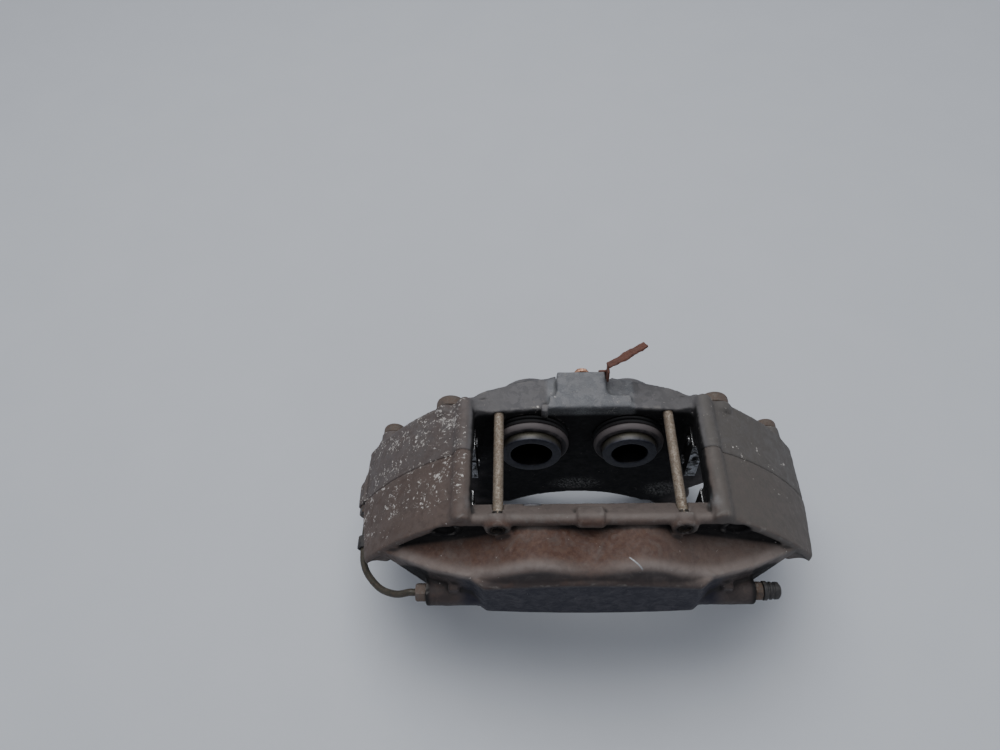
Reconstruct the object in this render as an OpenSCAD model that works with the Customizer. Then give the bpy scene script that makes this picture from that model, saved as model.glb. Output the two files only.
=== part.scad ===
// Four-piston fixed brake caliper in two bolted halves.
// Shapes are drawn about the disc axis: X along the length, Y along the axis, Z radially outward.
// placed() then moves them so that the origin is midway between the two knuckle bolt holes.

/* [Pistons] */
// Bore of the leading, larger cylinder
big_bore = 42; // [40:1:42]
// Bore of the trailing, smaller cylinder
small_bore = 38; // [36:1:38]
// Place of the larger cylinder along the length
big_x = -36; // [-38:0.5:-35]
// Place of the smaller cylinder along the length
small_x = 33; // [32:0.5:35]
// Height of the cylinder centres above the disc axis
bore_z = 134; // [133:0.5:135]
// Length of a piston
piston_len = 34; // [32:1:35]
// How far the inner pistons' faces stand from the disc's middle plane
inner_face_y = 17.5; // [16.5:0.5:20]
// How far the outer pistons' faces stand from the disc's middle plane
outer_face_y = 31; // [30:0.5:31]

/* [Housing] */
// Distance of each pad-side wall from the disc's middle plane
wall_y = 34; // [33.5:0.5:34]
// Outer radius of the bridges over the disc
roof_r = 187; // [186:0.5:188]
// Inner radius of the bridges
roof_in = 168.5; // [168:0.5:169]
// Front face of the bridges from the middle plane
roof_front = 50; // [49:0.5:51]
// Rear face of the bridges from the middle plane
roof_rear = 42; // [41:0.5:43]
// Half width of the pad window
window_x = 76; // [75:0.5:77]
// Half length of the bridges at the middle plane
end_x = 160; // [158:0.5:161]
// Foremost face of the outer half
nose_y = 83; // [82:0.5:84]

/* [Fasteners] */
// Spacing of the two pad pins
pin_pitch = 116; // [114:1:116]
// Diameter of the pad pins
pin_d = 6.8; // [6.4:0.1:7]
// Shank diameter of the inner bridge bolts
big_bolt = 12; // [11:0.5:12]
// Shank diameter of the outer bridge bolts
small_bolt = 10; // [9:0.5:10]

/* [Mounting] */
// Spacing of the knuckle bolt holes
ear_pitch = 150; // [148:1:152]
// Diameter of the knuckle bolt holes
ear_hole = 12.6; // [12.2:0.1:13]
// Height of the knuckle bolt holes above the disc axis
ear_z = 42; // [41:0.5:43]
// Mounting face from the middle plane
ear_y = 58; // [57:0.5:59]

/* [Hidden] */
$fn = 48;

cast_brown = [0.36, 0.33, 0.30];
cast_grey = [0.38, 0.39, 0.38];
rusty_steel = [0.42, 0.32, 0.24];
pin_steel = [0.60, 0.54, 0.46];
dull_steel = [0.50, 0.48, 0.38];
black_rubber = [0.07, 0.07, 0.08];
bright_steel = [0.78, 0.79, 0.80];
red_rust = [0.33, 0.18, 0.14];

fit = 0.05;              // running clearance of round parts
pin_r = pin_d / 2;
pin_x = pin_pitch / 2;
pin_z = 160;
bolt_r = 177.7;          // pitch radius of the bridge bolts
big_bolt_x = 92.5;
end_z = 98;              // underside of the bridge ends
front_taper = 8;         // the bridges get shorter towards the front
rear_flare = 1.5;
small_bolt_x = 139.5;
wall_back = 46;          // outer face of the outer half's wall
wall_rear = 48;          // rear face of the inner half's wall
small_seat = 50;         // seats of the bridge bolt heads
big_seat = 43;
plan_r = 240;            // rear edge of the inner half, seen from above
plan_x = -5;
plan_y = 61.5;
crown_r = 450;           // top of the inner half between the bridges
crown_z = 168.8;
block_slope = 8.5 / 24;  // rise of the machined block towards the rear
recess_y = 42;           // depth of the dust boot recess
seal_y0 = 44.5;
seal_y1 = 48.5;
outer_bore_y = 75.5;
inner_bore_y = 68;
port_y = 73;             // outer ports
port_z = 111.5;
port_r = 8.5;
port_end = 106.5;
thread_r = 5;
inner_port_y = 59.2;     // bleed port of the inner half
inner_port_z = 94;
pipe_r = 2.38;
pipe_port_x = -157;      // pipe port of the inner half
pipe_port_z = 91;
lug_y = 17;              // pad abutments
plate_t = 0.9;
lip_r = roof_r - 6;
shelf_z = 152;
shelf_tip_x = 136;
shelf_tip_z = 124;
shelf_drop = shelf_z - shelf_tip_z;
shelf_r = (shelf_tip_x * shelf_tip_x + shelf_drop * shelf_drop) / (2 * shelf_drop);
arch_r = 99;
arch_top = 50;
gallery_a = [-146, 51.5, 97];   // drilled gallery from the pipe port to the larger bore
gallery_b = [-58, 52, 118];
foot_y = 58;             // seat of the hose bracket

function bolt_z(x) = sqrt(bolt_r * bolt_r - x * x);

// --- helpers ---------------------------------------------------------------

module placed() {
    translate([0, -ear_y, -ear_z]) children();
}

// Outline in X and Z, drawn out along Y
module along_y(y0, y1) {
    translate([0, y1, 0]) rotate([90, 0, 0]) linear_extrude(y1 - y0) children();
}

// Outline in Y and Z, drawn out along X
module along_x(x0, x1) {
    translate([x0, 0, 0]) rotate([90, 0, 90]) linear_extrude(x1 - x0) children();
}

module rod_y(r, y0, y1, x, z) {
    translate([x, y1, z]) rotate([90, 0, 0]) cylinder(r = r, h = y1 - y0);
}

module rod_x(r, x0, x1, y, z) {
    translate([x0, y, z]) rotate([0, 90, 0]) cylinder(r = r, h = x1 - x0);
}

// Straight drilling between two points
module drill(a, b, r) {
    d = b - a;
    translate(a)
        rotate([0, acos(d.z / norm(d)), atan2(d.y, d.x)])
            cylinder(r = r, h = norm(d));
}

// Mirrors to the inboard (1) or outboard (-1) side of the disc
module facing(side) {
    scale_y = side < 0 ? 1 : 0;
    mirror([0, scale_y, 0]) children();
}

module both_ends() {
    children();
    mirror([1, 0, 0]) children();
}

// Closed cylinder with a rounded far rim, its axis along +Y
module domed(r, y0, y1, round_r, x, z) {
    h = y1 - y0;
    translate([x, y0, z]) rotate([-90, 0, 0]) rotate_extrude() {
        square([r, h - round_r]);
        square([r - round_r, h]);
        translate([r - round_r, h - round_r]) intersection() {
            circle(r = round_r);
            square(round_r);
        }
    }
}

module ring_y(r_out, r_in, y0, y1, x, z) {
    difference() {
        rod_y(r_out, y0, y1, x, z);
        rod_y(r_in, y0 - 1, y1 + 1, x, z);
    }
}

// --- housing shapes --------------------------------------------------------

module roof_arc(r_in) {
    intersection() {
        difference() {
            circle(r = roof_r, $fn = 96);
            circle(r = r_in, $fn = 96);
        }
        translate([window_x, end_z]) square(110);
    }
}

module roof_ridge() {
    translate([window_x + 5.2, 166]) circle(r = 6.5);
}

// Cuts the end of a bridge to x0 at the middle plane and x1 at its far face
module tapered_end(x0, x1, y1) {
    intersection() {
        children();
        linear_extrude(220) polygon([[window_x - 5, -1], [x0, -1], [x0, 0], [x1, y1], [window_x - 5, y1]]);
    }
}

// Front bridge over the disc at the +X end, with a thinner lip at its face
module front_bridge() {
    tapered_end(end_x, end_x - front_taper, roof_front) {
        along_y(0, wall_back) {
            roof_arc(roof_in);
            roof_ridge();
        }
        along_y(wall_back - 1, roof_front) {
            roof_arc(lip_r);
            difference() {
                roof_ridge();
                circle(r = lip_r - 6, $fn = 96);
            }
        }
    }
}

module rear_bridge() {
    tapered_end(end_x, end_x + rear_flare, roof_rear) along_y(0, roof_rear) {
        roof_arc(roof_in);
        roof_ridge();
    }
}

// Pad abutment beside the window at the +X end
module abutment() {
    along_y(lug_y, wall_y + 1) intersection() {
        circle(r = roof_in + 3, $fn = 96);
        translate([window_x, 104]) square([15, 70]);
    }
}

// Cylinder bore with its seal groove and boot recess, from the pad side outward
module bore(d, depth_y, x) {
    rod_y(d / 2, wall_y - 1, depth_y, x, bore_z);
    rod_y(d / 2 + 5.3, wall_y - 1, recess_y, x, bore_z);
    rod_y(d / 2 + 2.6, seal_y0, seal_y1, x, bore_z);
}

module pin_holes(y0, y1, r) {
    for (x = [-pin_x, pin_x]) rod_y(r, y0, y1, x, pin_z);
}

module bolt_holes(y0, y1, clear) {
    for (s = [-1, 1]) {
        rod_y(big_bolt / 2 + clear, y0, y1, s * big_bolt_x, bolt_z(big_bolt_x));
        rod_y(small_bolt / 2 + clear, y0, y1, s * small_bolt_x, bolt_z(small_bolt_x));
    }
}

module plate_screw_holes() {
    for (s = [-1, 1]) for (z = [112, 138])
        rod_x(2 + fit, s > 0 ? window_x - 1 : -window_x - 9, s > 0 ? window_x + 9 : 1 - window_x, 26, z);
}

// Outline of the outer half's wall in X and Z
module outer_wall_outline() {
    intersection() {
        circle(r = roof_r - 5, $fn = 96);
        polygon([
            [-145, 104], [-108, 95], [-74, 91], [74, 91], [108, 95], [145, 104],
            [145, 190], [window_x, 190], [window_x, 150], [-window_x, 150], [-window_x, 190], [-145, 190]
        ]);
    }
}

// Block in front of the wall, under the curved shelf
module shelf_outline() {
    intersection() {
        translate([0, shelf_z - shelf_r]) circle(r = shelf_r, $fn = 128);
        polygon([
            [-shelf_tip_x - 1, 117], [-104, 103], [-74, 92], [74, 92], [104, 103], [shelf_tip_x + 1, 117],
            [shelf_tip_x, 190], [-shelf_tip_x, 190]
        ]);
    }
}

module shelf_plan() {
    polygon([
        [-shelf_tip_x, 40], [-shelf_tip_x, 50], [-102, 67.5], [-78, 75.5],
        [78, 75.5], [102, 67.5], [shelf_tip_x, 50], [shelf_tip_x, 40]
    ]);
}

// Smooth bow in front of the cylinders
module nose() {
    hull() {
        along_y(60, 75) nose_outline(77, 95, 141);
        along_y(76, nose_y) nose_outline(67, 99, 139);
    }
}

// Plate with a bowed top and bottom
module nose_outline(half_l, low, high) {
    top_r = 430;
    bottom_r = 520;
    intersection() {
        translate([-half_l, low]) square([2 * half_l, high - low + 8]);
        translate([0, high + 8 - top_r]) circle(r = top_r, $fn = 160);
        translate([0, low + bottom_r]) circle(r = bottom_r, $fn = 160);
    }
}

// Lip in front of the window, with its middle tab
module front_rim() {
    along_x(-window_x - 1, window_x + 1) {
        polygon([[wall_y, 140], [wall_y, 160], [45, 165.6], [47, 158], [wall_back, 146]]);
        translate([wall_back, 162]) circle(r = 4);
    }
    along_x(-8, 8) {
        polygon([[39, 150], [39, 163.5], [46, 167.2], [48, 160]]);
        translate([47, 162.5]) circle(r = 4.7);
    }
}

// Ports at the ends of the outer half, drawn at the +X end
module outer_port() {
    rod_x(port_r, 72, port_end, port_y, port_z);
    translate([84, port_y - 6, port_z + 4]) cube([7, 10, 10]);
}

module outer_half() color(cast_brown) placed() facing(-1) difference() {
    union() {
        both_ends() {
            front_bridge();
            abutment();
            outer_port();
        }
        along_y(wall_y, wall_back) outer_wall_outline();
        intersection() {
            along_y(40, 90) shelf_outline();
            translate([0, 0, 80]) linear_extrude(100) shelf_plan();
        }
        domed(big_bore / 2 + 5, 40, 79, 7, big_x, bore_z);
        domed(small_bore / 2 + 5.5, 40, 79, 7, small_x, bore_z);
        nose();
        front_rim();
        pin_holes(44, 53, 8.3);
        for (s = [-1, 1]) rod_y(10.5, 40, 47.5, s * big_bolt_x, bolt_z(big_bolt_x) - 1);
        for (x = [6, 25]) translate([x, 60, 150]) cylinder(r = 3, h = 3);
    }
    bore(big_bore, outer_bore_y, big_x);
    bore(small_bore, outer_bore_y, small_x);
    drill([big_x, outer_bore_y - 2.5, bore_z], [small_x, outer_bore_y - 2.5, bore_z], 1.6);
    drill([96, port_y, port_z], [small_x + 8, outer_bore_y - 3, bore_z - 8], 1.6);
    drill([-96, port_y, port_z], [big_x - 8, outer_bore_y - 3, bore_z - 8], 1.6);
    rod_x(thread_r, 94, port_end + 1, port_y, port_z);
    rod_x(thread_r, -port_end - 1, -94, port_y, port_z);
    pin_holes(wall_y - 1, 60, pin_r + fit);
    pin_holes(41, 60, 4.6);
    bolt_holes(-1, 44, fit);
    for (s = [-1, 1]) rod_y(7.2, 43.5, 60, s * big_bolt_x, bolt_z(big_bolt_x) - 1);
    plate_screw_holes();
}

// Outline of the inner half between its bridges, under a shallow crown
module crown_outline(half_width) {
    intersection() {
        translate([0, crown_z - crown_r]) circle(r = crown_r, $fn = 128);
        translate([-half_width, 118]) square([2 * half_width, 60]);
    }
}

// Flat-topped block that slopes up towards the rear, from x0 to x1
module sloped_block(x0, x1, y1) {
    rise = (y1 - wall_y) * block_slope;
    along_x(x0, x1) polygon([[wall_y, 158], [wall_y, crown_z], [y1, crown_z + rise], [y1, 158]]);
}

// Outline of the inner half's wall in X and Z, with its ears and hub arch
module inner_wall_outline() {
    difference() {
        union() {
            intersection() {
                circle(r = roof_r - 5, $fn = 96);
                polygon([
                    [-145, 104], [-124, 80], [-88, 52], [-75, 34], [75, 34], [88, 52], [124, 80], [145, 104],
                    [145, 190], [window_x, 190], [window_x, 150], [-window_x, 150], [-window_x, 190], [-145, 190]
                ]);
            }
            crown_outline(window_x + 1);
            for (s = [-1, 1]) translate([s * ear_pitch / 2, ear_z]) circle(r = 16.8);
        }
        translate([0, arch_top - arch_r]) circle(r = arch_r, $fn = 96);
    }
}

// Stiffening rib from an ear towards the cylinders, drawn at the +X end
module ear_rib() {
    along_y(wall_rear - 1, wall_rear + 5) polygon([
        [ear_pitch / 2 - 14, ear_z + 8], [ear_pitch / 2 + 2, ear_z + 14], [42, bore_z - 14], [30, bore_z - 20]
    ]);
}

// Raised border along the hub arch
module arch_rim() {
    intersection() {
        difference() {
            translate([0, arch_top - arch_r]) circle(r = arch_r + 8, $fn = 96);
            translate([0, arch_top - arch_r]) circle(r = arch_r, $fn = 96);
        }
        translate([-ear_pitch / 2 + 6, ear_z - 14]) square([ear_pitch - 12, 60]);
    }
}

module inner_half() color(cast_grey) placed() difference() {
    union() {
        both_ends() {
            rear_bridge();
            abutment();
            along_y(wall_y, 44) polygon([[64, 158], [64, 164.2], [window_x + 2, 168.6], [window_x + 2, 158]]);
        }
        along_y(wall_y, wall_rear) inner_wall_outline();
        intersection() {
            along_y(36, plan_y) crown_outline(window_x);
            translate([plan_x, plan_y - plan_r, 0]) cylinder(r = plan_r, h = 200, $fn = 128);
        }
        domed(big_bore / 2 + 4.5, 45, 73, 13, big_x, bore_z);
        domed(small_bore / 2 + 5, 45, 73, 13, small_x, bore_z);
        both_ends() ear_rib();
        along_y(wall_rear - 1, wall_rear + 4) arch_rim();
        for (s = [-1, 1]) rod_y(18, 42, ear_y, s * ear_pitch / 2, ear_z);
        for (s = [-1, 1]) rod_y(11.5, 36, big_seat, s * big_bolt_x, bolt_z(big_bolt_x));
        for (s = [-1, 1]) rod_y(9.2, 36, small_seat, s * small_bolt_x, bolt_z(small_bolt_x));
        // machined block over the middle of the window
        sloped_block(-18, 16, foot_y);
        sloped_block(-23, 33, wall_y + 8);
        translate([-28.5, wall_y - 4, 160]) cube([4, 6, 10.5]);
        // pipe port, bleed port and gallery rib
        rod_y(7.4, 0, 18, pipe_port_x, pipe_port_z);
        translate([pipe_port_x - 3, 0, pipe_port_z]) cube([12, 22, end_z + 3 - pipe_port_z]);
        drill([pipe_port_x, 14, pipe_port_z], gallery_a, 7);
        drill(gallery_a + [-2, 0, 0], gallery_b, 6.5);
        rod_x(port_r, 50, 106, inner_port_y, inner_port_z);
        translate([56, wall_rear - 2, inner_port_z - 5]) cube([48, inner_port_y - wall_rear, 10]);
        drill([86, inner_port_y, inner_port_z], [45, 57, 122], 5.5);
        domed(9, 45, 68, 2, 0, bore_z - 8);
    }
    bore(big_bore, inner_bore_y, big_x);
    bore(small_bore, inner_bore_y, small_x);
    drill([big_x, 62, bore_z], [small_x, 62, bore_z], 1.6);
    rod_y(4.5, 56, 69, 0, bore_z - 8);
    rod_y(2.2, 52, 57, 0, bore_z - 8);
    drill([0, 54, bore_z - 8], [0, 62, bore_z], 1.3);
    drill([94, inner_port_y, inner_port_z], [small_x + 10, 57.5, 124], 1.6);
    rod_x(thread_r, 92, 107, inner_port_y, inner_port_z);
    rod_y(thread_r, -1, 14, pipe_port_x, pipe_port_z);
    drill([pipe_port_x, 12, pipe_port_z], gallery_a + [2, 0, 0.5], 1.6);
    drill(gallery_a, gallery_b + [14, 0, 0], 1.6);
    rod_x(3, gallery_a.x - 9, gallery_a.x - 1, gallery_a.y, gallery_a.z);
    pin_holes(wall_y - 1, 60, pin_r + fit);
    bolt_holes(-1, 60, 0.3);
    for (s = [-1, 1]) rod_y(11.2, big_seat, 66, s * big_bolt_x, bolt_z(big_bolt_x));
    for (s = [-1, 1]) rod_y(9, small_seat, 66, s * small_bolt_x, bolt_z(small_bolt_x));
    for (s = [-1, 1]) rod_y(ear_hole / 2, 40, 60, s * ear_pitch / 2, ear_z);
    translate([-18, foot_y, 157]) cube([38, 6, 20]);
    rod_y(3 + fit, 45, 60, 0, 169);
    plate_screw_holes();
}

// --- bolts -----------------------------------------------------------------

// Socket-head bridge bolt, its head on the inboard side
module bridge_bolt(d, head_r, head_h, tip_y, x, seat) {
    difference() {
        union() {
            rod_y(d / 2, -tip_y, seat + 1, x, bolt_z(x));
            domed(head_r, seat, seat + head_h, 3, x, bolt_z(x));
        }
        translate([x, seat + head_h + 1, bolt_z(x)]) rotate([90, 30, 0])
            cylinder(r = d * 0.45, h = head_h * 0.6 + 1, $fn = 6);
    }
}

module bridge_bolts_large() color(rusty_steel) placed() {
    for (s = [-1, 1]) bridge_bolt(big_bolt, 10.4, 9, 43, s * big_bolt_x, big_seat);
}

module bridge_bolts_small() color(rusty_steel) placed() {
    for (s = [-1, 1]) bridge_bolt(small_bolt, 8.2, 8, 43, s * small_bolt_x, small_seat);
}

// --- pistons, seals and boots ------------------------------------------------

// Cup piston, open towards the pad, with a groove for the boot lip
module piston(d, x, face_y) {
    r = d / 2 - fit;
    cup = d / 2 - 6.5;
    translate([x, face_y, bore_z]) rotate([-90, 0, 0]) rotate_extrude() difference() {
        translate([0, 0]) square([r, piston_len]);
        translate([-1, -1]) square([cup + 1, piston_len - 7]);
        translate([r - 1.3, 6]) square([3, 2.4]);
        translate([cup, 0]) rotate(45) square(1.4, center = true);
        translate([r, 0]) rotate(45) square(1.2, center = true);
        translate([r, piston_len]) rotate(45) square(2, center = true);
    }
}

module piston_outer_large() color(dull_steel) placed() facing(-1) piston(big_bore, big_x, outer_face_y);
module piston_outer_small() color(dull_steel) placed() facing(-1) piston(small_bore, small_x, outer_face_y);
module piston_inner_large() color(dull_steel) placed() piston(big_bore, big_x, inner_face_y);
module piston_inner_small() color(dull_steel) placed() piston(small_bore, small_x, inner_face_y);

module seal(d, x) {
    ring_y(d / 2 + 2.5, d / 2 + 0.02, seal_y0 + 0.1, seal_y1 - 0.1, x, bore_z);
}

module seal_outer_large() color(black_rubber) placed() facing(-1) seal(big_bore, big_x);
module seal_outer_small() color(black_rubber) placed() facing(-1) seal(small_bore, small_x);
module seal_inner_large() color(black_rubber) placed() seal(big_bore, big_x);
module seal_inner_small() color(black_rubber) placed() seal(small_bore, small_x);

// Bellows boot from its recess in the housing to its lip around the piston
module boot(d, x, lip_y) {
    r = d / 2;
    folds = 3;
    pitch = (39.4 - lip_y) / folds;
    translate([x, 0, bore_z]) rotate([-90, 0, 0]) rotate_extrude() {
        translate([r + 0.4, 39.4]) square([4.8, 2.5]);
        translate([r + 2.6, lip_y]) square([1.2, 40 - lip_y]);
        for (i = [0:folds - 1]) translate([r + 3, lip_y + i * pitch]) circle(r = min(1.9, pitch * 0.7 + 0.8));
    }
}

module boot_outer_large() color(black_rubber) placed() facing(-1) boot(big_bore, big_x, outer_face_y + 6);
module boot_outer_small() color(black_rubber) placed() facing(-1) boot(small_bore, small_x, outer_face_y + 6);
module boot_inner_large() color(black_rubber) placed() boot(big_bore, big_x, inner_face_y + 8.5);
module boot_inner_small() color(black_rubber) placed() boot(small_bore, small_x, inner_face_y + 8.5);

// --- pad hardware ------------------------------------------------------------

module pad_pin(x) {
    domed(pin_r, -40, 49.5, 1, x, pin_z);
    mirror([0, 1, 0]) domed(pin_r, 39, 51, 1, x, pin_z);
}

module pad_pin_left() color(pin_steel) placed() pad_pin(-pin_x);
module pad_pin_right() color(pin_steel) placed() pad_pin(pin_x);

// Split spring sleeves that grip the pins in the outer half
module pin_sleeves() color(dull_steel) placed() for (x = [-pin_x, pin_x]) difference() {
    ring_y(4.55, pin_r + fit, -52.5, -41, x, pin_z);
    translate([x - 0.5, -53, pin_z]) cube([1, 13, 6]);
}

// Stainless plate on one pad abutment, drawn on the inboard side at the +X end
module wear_plate() {
    difference() {
        union() {
            translate([window_x - plate_t, lug_y + 0.5, 105]) cube([plate_t, wall_y - lug_y - 1, 40]);
            translate([window_x - plate_t, lug_y - plate_t, 105]) cube([8, plate_t, 40]);
            translate([window_x - plate_t, lug_y - plate_t, 105]) cube([plate_t, 3, 40]);
        }
        for (z = [112, 138]) rod_x(2.2, window_x - 3, window_x + 3, 26, z);
    }
}

module wear_plate_outer_left() color(bright_steel) placed() facing(-1) mirror([1, 0, 0]) wear_plate();
module wear_plate_outer_right() color(bright_steel) placed() facing(-1) wear_plate();
module wear_plate_inner_left() color(bright_steel) placed() mirror([1, 0, 0]) wear_plate();
module wear_plate_inner_right() color(bright_steel) placed() wear_plate();

module plate_screws() color(bright_steel) placed() for (side = [-1, 1]) facing(side) both_ends() {
    for (z = [112, 138]) {
        rod_x(3.4, window_x - plate_t - 1.2, window_x - plate_t, 26, z);
        rod_x(2, window_x - plate_t - 0.5, window_x + 8, 26, z);
    }
}

// --- fluid fittings ----------------------------------------------------------

// Points of the crossover pipe's centre line
PIPE = [
    [-96, -port_y, port_z], [-105, -port_y, port_z], [-114, -port_y, port_z], [-118, -port_y, port_z],
    [-127, -72.5, 107], [-137, -68, 102], [-144, -62, 99], [-151, -53, 95.5], [-155, -44, 93],
    [-156.5, -35, 91.5], [pipe_port_x, -25, pipe_port_z], [pipe_port_x, -14, pipe_port_z],
    [pipe_port_x, -4, pipe_port_z], [pipe_port_x, 8, pipe_port_z]
];
PIPE_SIDES = 12;
PIPE_STEPS = 4;

// Catmull-Rom point between p1 and p2
function spline(p0, p1, p2, p3, t) =
    0.5 * (2 * p1 + (p2 - p0) * t + (2 * p0 - 5 * p1 + 4 * p2 - p3) * t * t
    + (3 * p1 - p0 - 3 * p2 + p3) * t * t * t);

function route(p) = [
    for (i = [0:len(p) - 2]) for (k = [0:PIPE_STEPS - 1])
        spline(p[max(i - 1, 0)], p[i], p[i + 1], p[min(i + 2, len(p) - 1)], k / PIPE_STEPS),
    p[len(p) - 1]
];

function unit(v) = v / norm(v);

function ring_points(c, dir, r, n) =
    let (side = unit(cross(dir, [0, 0, 1])), up = cross(side, dir))
    [for (k = [0:n - 1]) c + r * (cos(360 * k / n) * side + sin(360 * k / n) * up)];

// Hollow tube swept along a list of points
module swept_tube(p, r_out, r_in, n) {
    m = len(p);
    dirs = [for (i = [0:m - 1]) unit(p[min(i + 1, m - 1)] - p[max(i - 1, 0)])];
    outer = [for (i = [0:m - 1]) each ring_points(p[i], dirs[i], r_out, n)];
    inner = [for (i = [0:m - 1]) each ring_points(p[i], dirs[i], r_in, n)];
    o = m * n;
    faces = [
        for (i = [0:m - 2]) for (k = [0:n - 1])
            let (a = i * n + k, b = i * n + (k + 1) % n)
            each [[a, b, b + n], [a, b + n, a + n], [o + a, o + b + n, o + b], [o + a, o + a + n, o + b + n]],
        for (k = [0:n - 1])
            let (a = k, b = (k + 1) % n, c = (m - 1) * n + k, d = (m - 1) * n + (k + 1) % n)
            each [[a, o + b, b], [a, o + a, o + b], [c, d, o + d], [c, o + d, o + c]]
    ];
    polyhedron(points = concat(outer, inner), faces = faces);
}

module crossover_pipe() color(dull_steel) placed() swept_tube(route(PIPE), pipe_r, 1.6, PIPE_SIDES);

// Flare nut with its hexagon towards +Z, its seat at the origin
module tube_nut() {
    difference() {
        union() {
            translate([0, 0, -11]) cylinder(r = thread_r - fit, h = 12);
            cylinder(r = 6.35, h = 7, $fn = 6);
        }
        translate([0, 0, -12]) cylinder(r = pipe_r + 0.1, h = 22);
    }
}

module tube_nut_outer() color(rusty_steel) placed()
    translate([-port_end, -port_y, port_z]) rotate([0, -90, 0]) tube_nut();
module tube_nut_inner() color(black_rubber) placed()
    translate([pipe_port_x, 0, pipe_port_z]) rotate([90, 0, 0]) tube_nut();

// Rubber sleeve that keeps the pipe off the housing
module pipe_sleeve() color(black_rubber) placed()
    ring_y(4.4, pipe_r + 0.4, -33, -24, pipe_port_x, pipe_port_z + 0.2);

// Bleed screw pointing to +X, its hexagon against the port at x = 0
module bleed_screw() {
    difference() {
        union() {
            rod_x(thread_r - fit, -8.5, 0.5, 0, 0);
            translate([-12, 0, 0]) rotate([0, 90, 0]) cylinder(r1 = 1.2, r2 = 4.2, h = 3.5);
            translate([0.2, 0, 0]) rotate([0, 90, 0]) cylinder(r = 6.35, h = 5, $fn = 6);
            rod_x(3.4, 5, 12, 0, 0);
            rod_x(4.1, 10.5, 13, 0, 0);
        }
        rod_x(1, -7, 14, 0, 0);
        translate([-6, 0, -6]) cylinder(r = 0.8, h = 12);
    }
}

module bleed_cap() {
    translate([5.6, 0, 0]) rotate([0, 90, 0]) rotate_extrude() difference() {
        union() {
            square([6.2, 2.5]);
            square([5.6, 9.4]);
            translate([3.6, 9.4]) circle(r = 2);
            square([3.6, 11.4]);
        }
        translate([-10, -10]) square([10, 30]);
        translate([0, -1]) square([4.5, 9.2]);
    }
}

module bleed_screw_outer() color(rusty_steel) placed()
    translate([port_end, -port_y, port_z]) bleed_screw();
module bleed_screw_inner() color(rusty_steel) placed()
    translate([106, inner_port_y, inner_port_z]) bleed_screw();
module bleed_cap_outer() color(black_rubber) placed()
    translate([port_end, -port_y, port_z]) bleed_cap();
module bleed_cap_inner() color(black_rubber) placed()
    translate([106, inner_port_y, inner_port_z]) bleed_cap();

// Plug that closes the drilled gallery of the inner half
module gallery_plugs() color(dull_steel) placed()
    rod_x(2.98, gallery_a.x - 5.5, gallery_a.x - 1.2, gallery_a.y, gallery_a.z);

// --- bracket -----------------------------------------------------------------

// Sheet bracket: foot behind the block, upright, and a sloping flag
module hose_bracket() color(red_rust) placed() difference() {
    union() {
        translate([-9, foot_y, 160]) cube([27, 1.6, 14]);
        translate([11, foot_y, 172]) cube([7, 1.6, 5]);
        translate([16.4, foot_y - 7, 173.6]) cube([1.6, 8.6, 10.9]);
        translate([17.2, foot_y + 1, 184]) rotate([-38, -19, 22])
            translate([-0.8, -8, -0.8]) cube([29.5, 10, 1.6]);
    }
    rod_y(3.2, 50, 70, 0, 169);
}

module bracket_screw() color(rusty_steel) placed() {
    rod_y(3, 46, foot_y + 2, 0, 169);
    translate([0, foot_y + 1.6, 169]) rotate([-90, 0, 0]) cylinder(r = 5.8, h = 4.2, $fn = 6);
    rod_y(6.6, foot_y + 1.6, foot_y + 2.8, 0, 169);
}

outer_half();
inner_half();
bridge_bolts_large();
bridge_bolts_small();
piston_outer_large();
piston_outer_small();
piston_inner_large();
piston_inner_small();
seal_outer_large();
seal_outer_small();
seal_inner_large();
seal_inner_small();
boot_outer_large();
boot_outer_small();
boot_inner_large();
boot_inner_small();
pad_pin_left();
pad_pin_right();
pin_sleeves();
wear_plate_outer_left();
wear_plate_outer_right();
wear_plate_inner_left();
wear_plate_inner_right();
plate_screws();
crossover_pipe();
tube_nut_outer();
tube_nut_inner();
pipe_sleeve();
bleed_screw_outer();
bleed_screw_inner();
bleed_cap_outer();
bleed_cap_inner();
gallery_plugs();
hose_bracket();
bracket_screw();
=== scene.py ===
import math
import bmesh
import bpy
import numpy as np
from mathutils import Matrix, Vector


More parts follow.
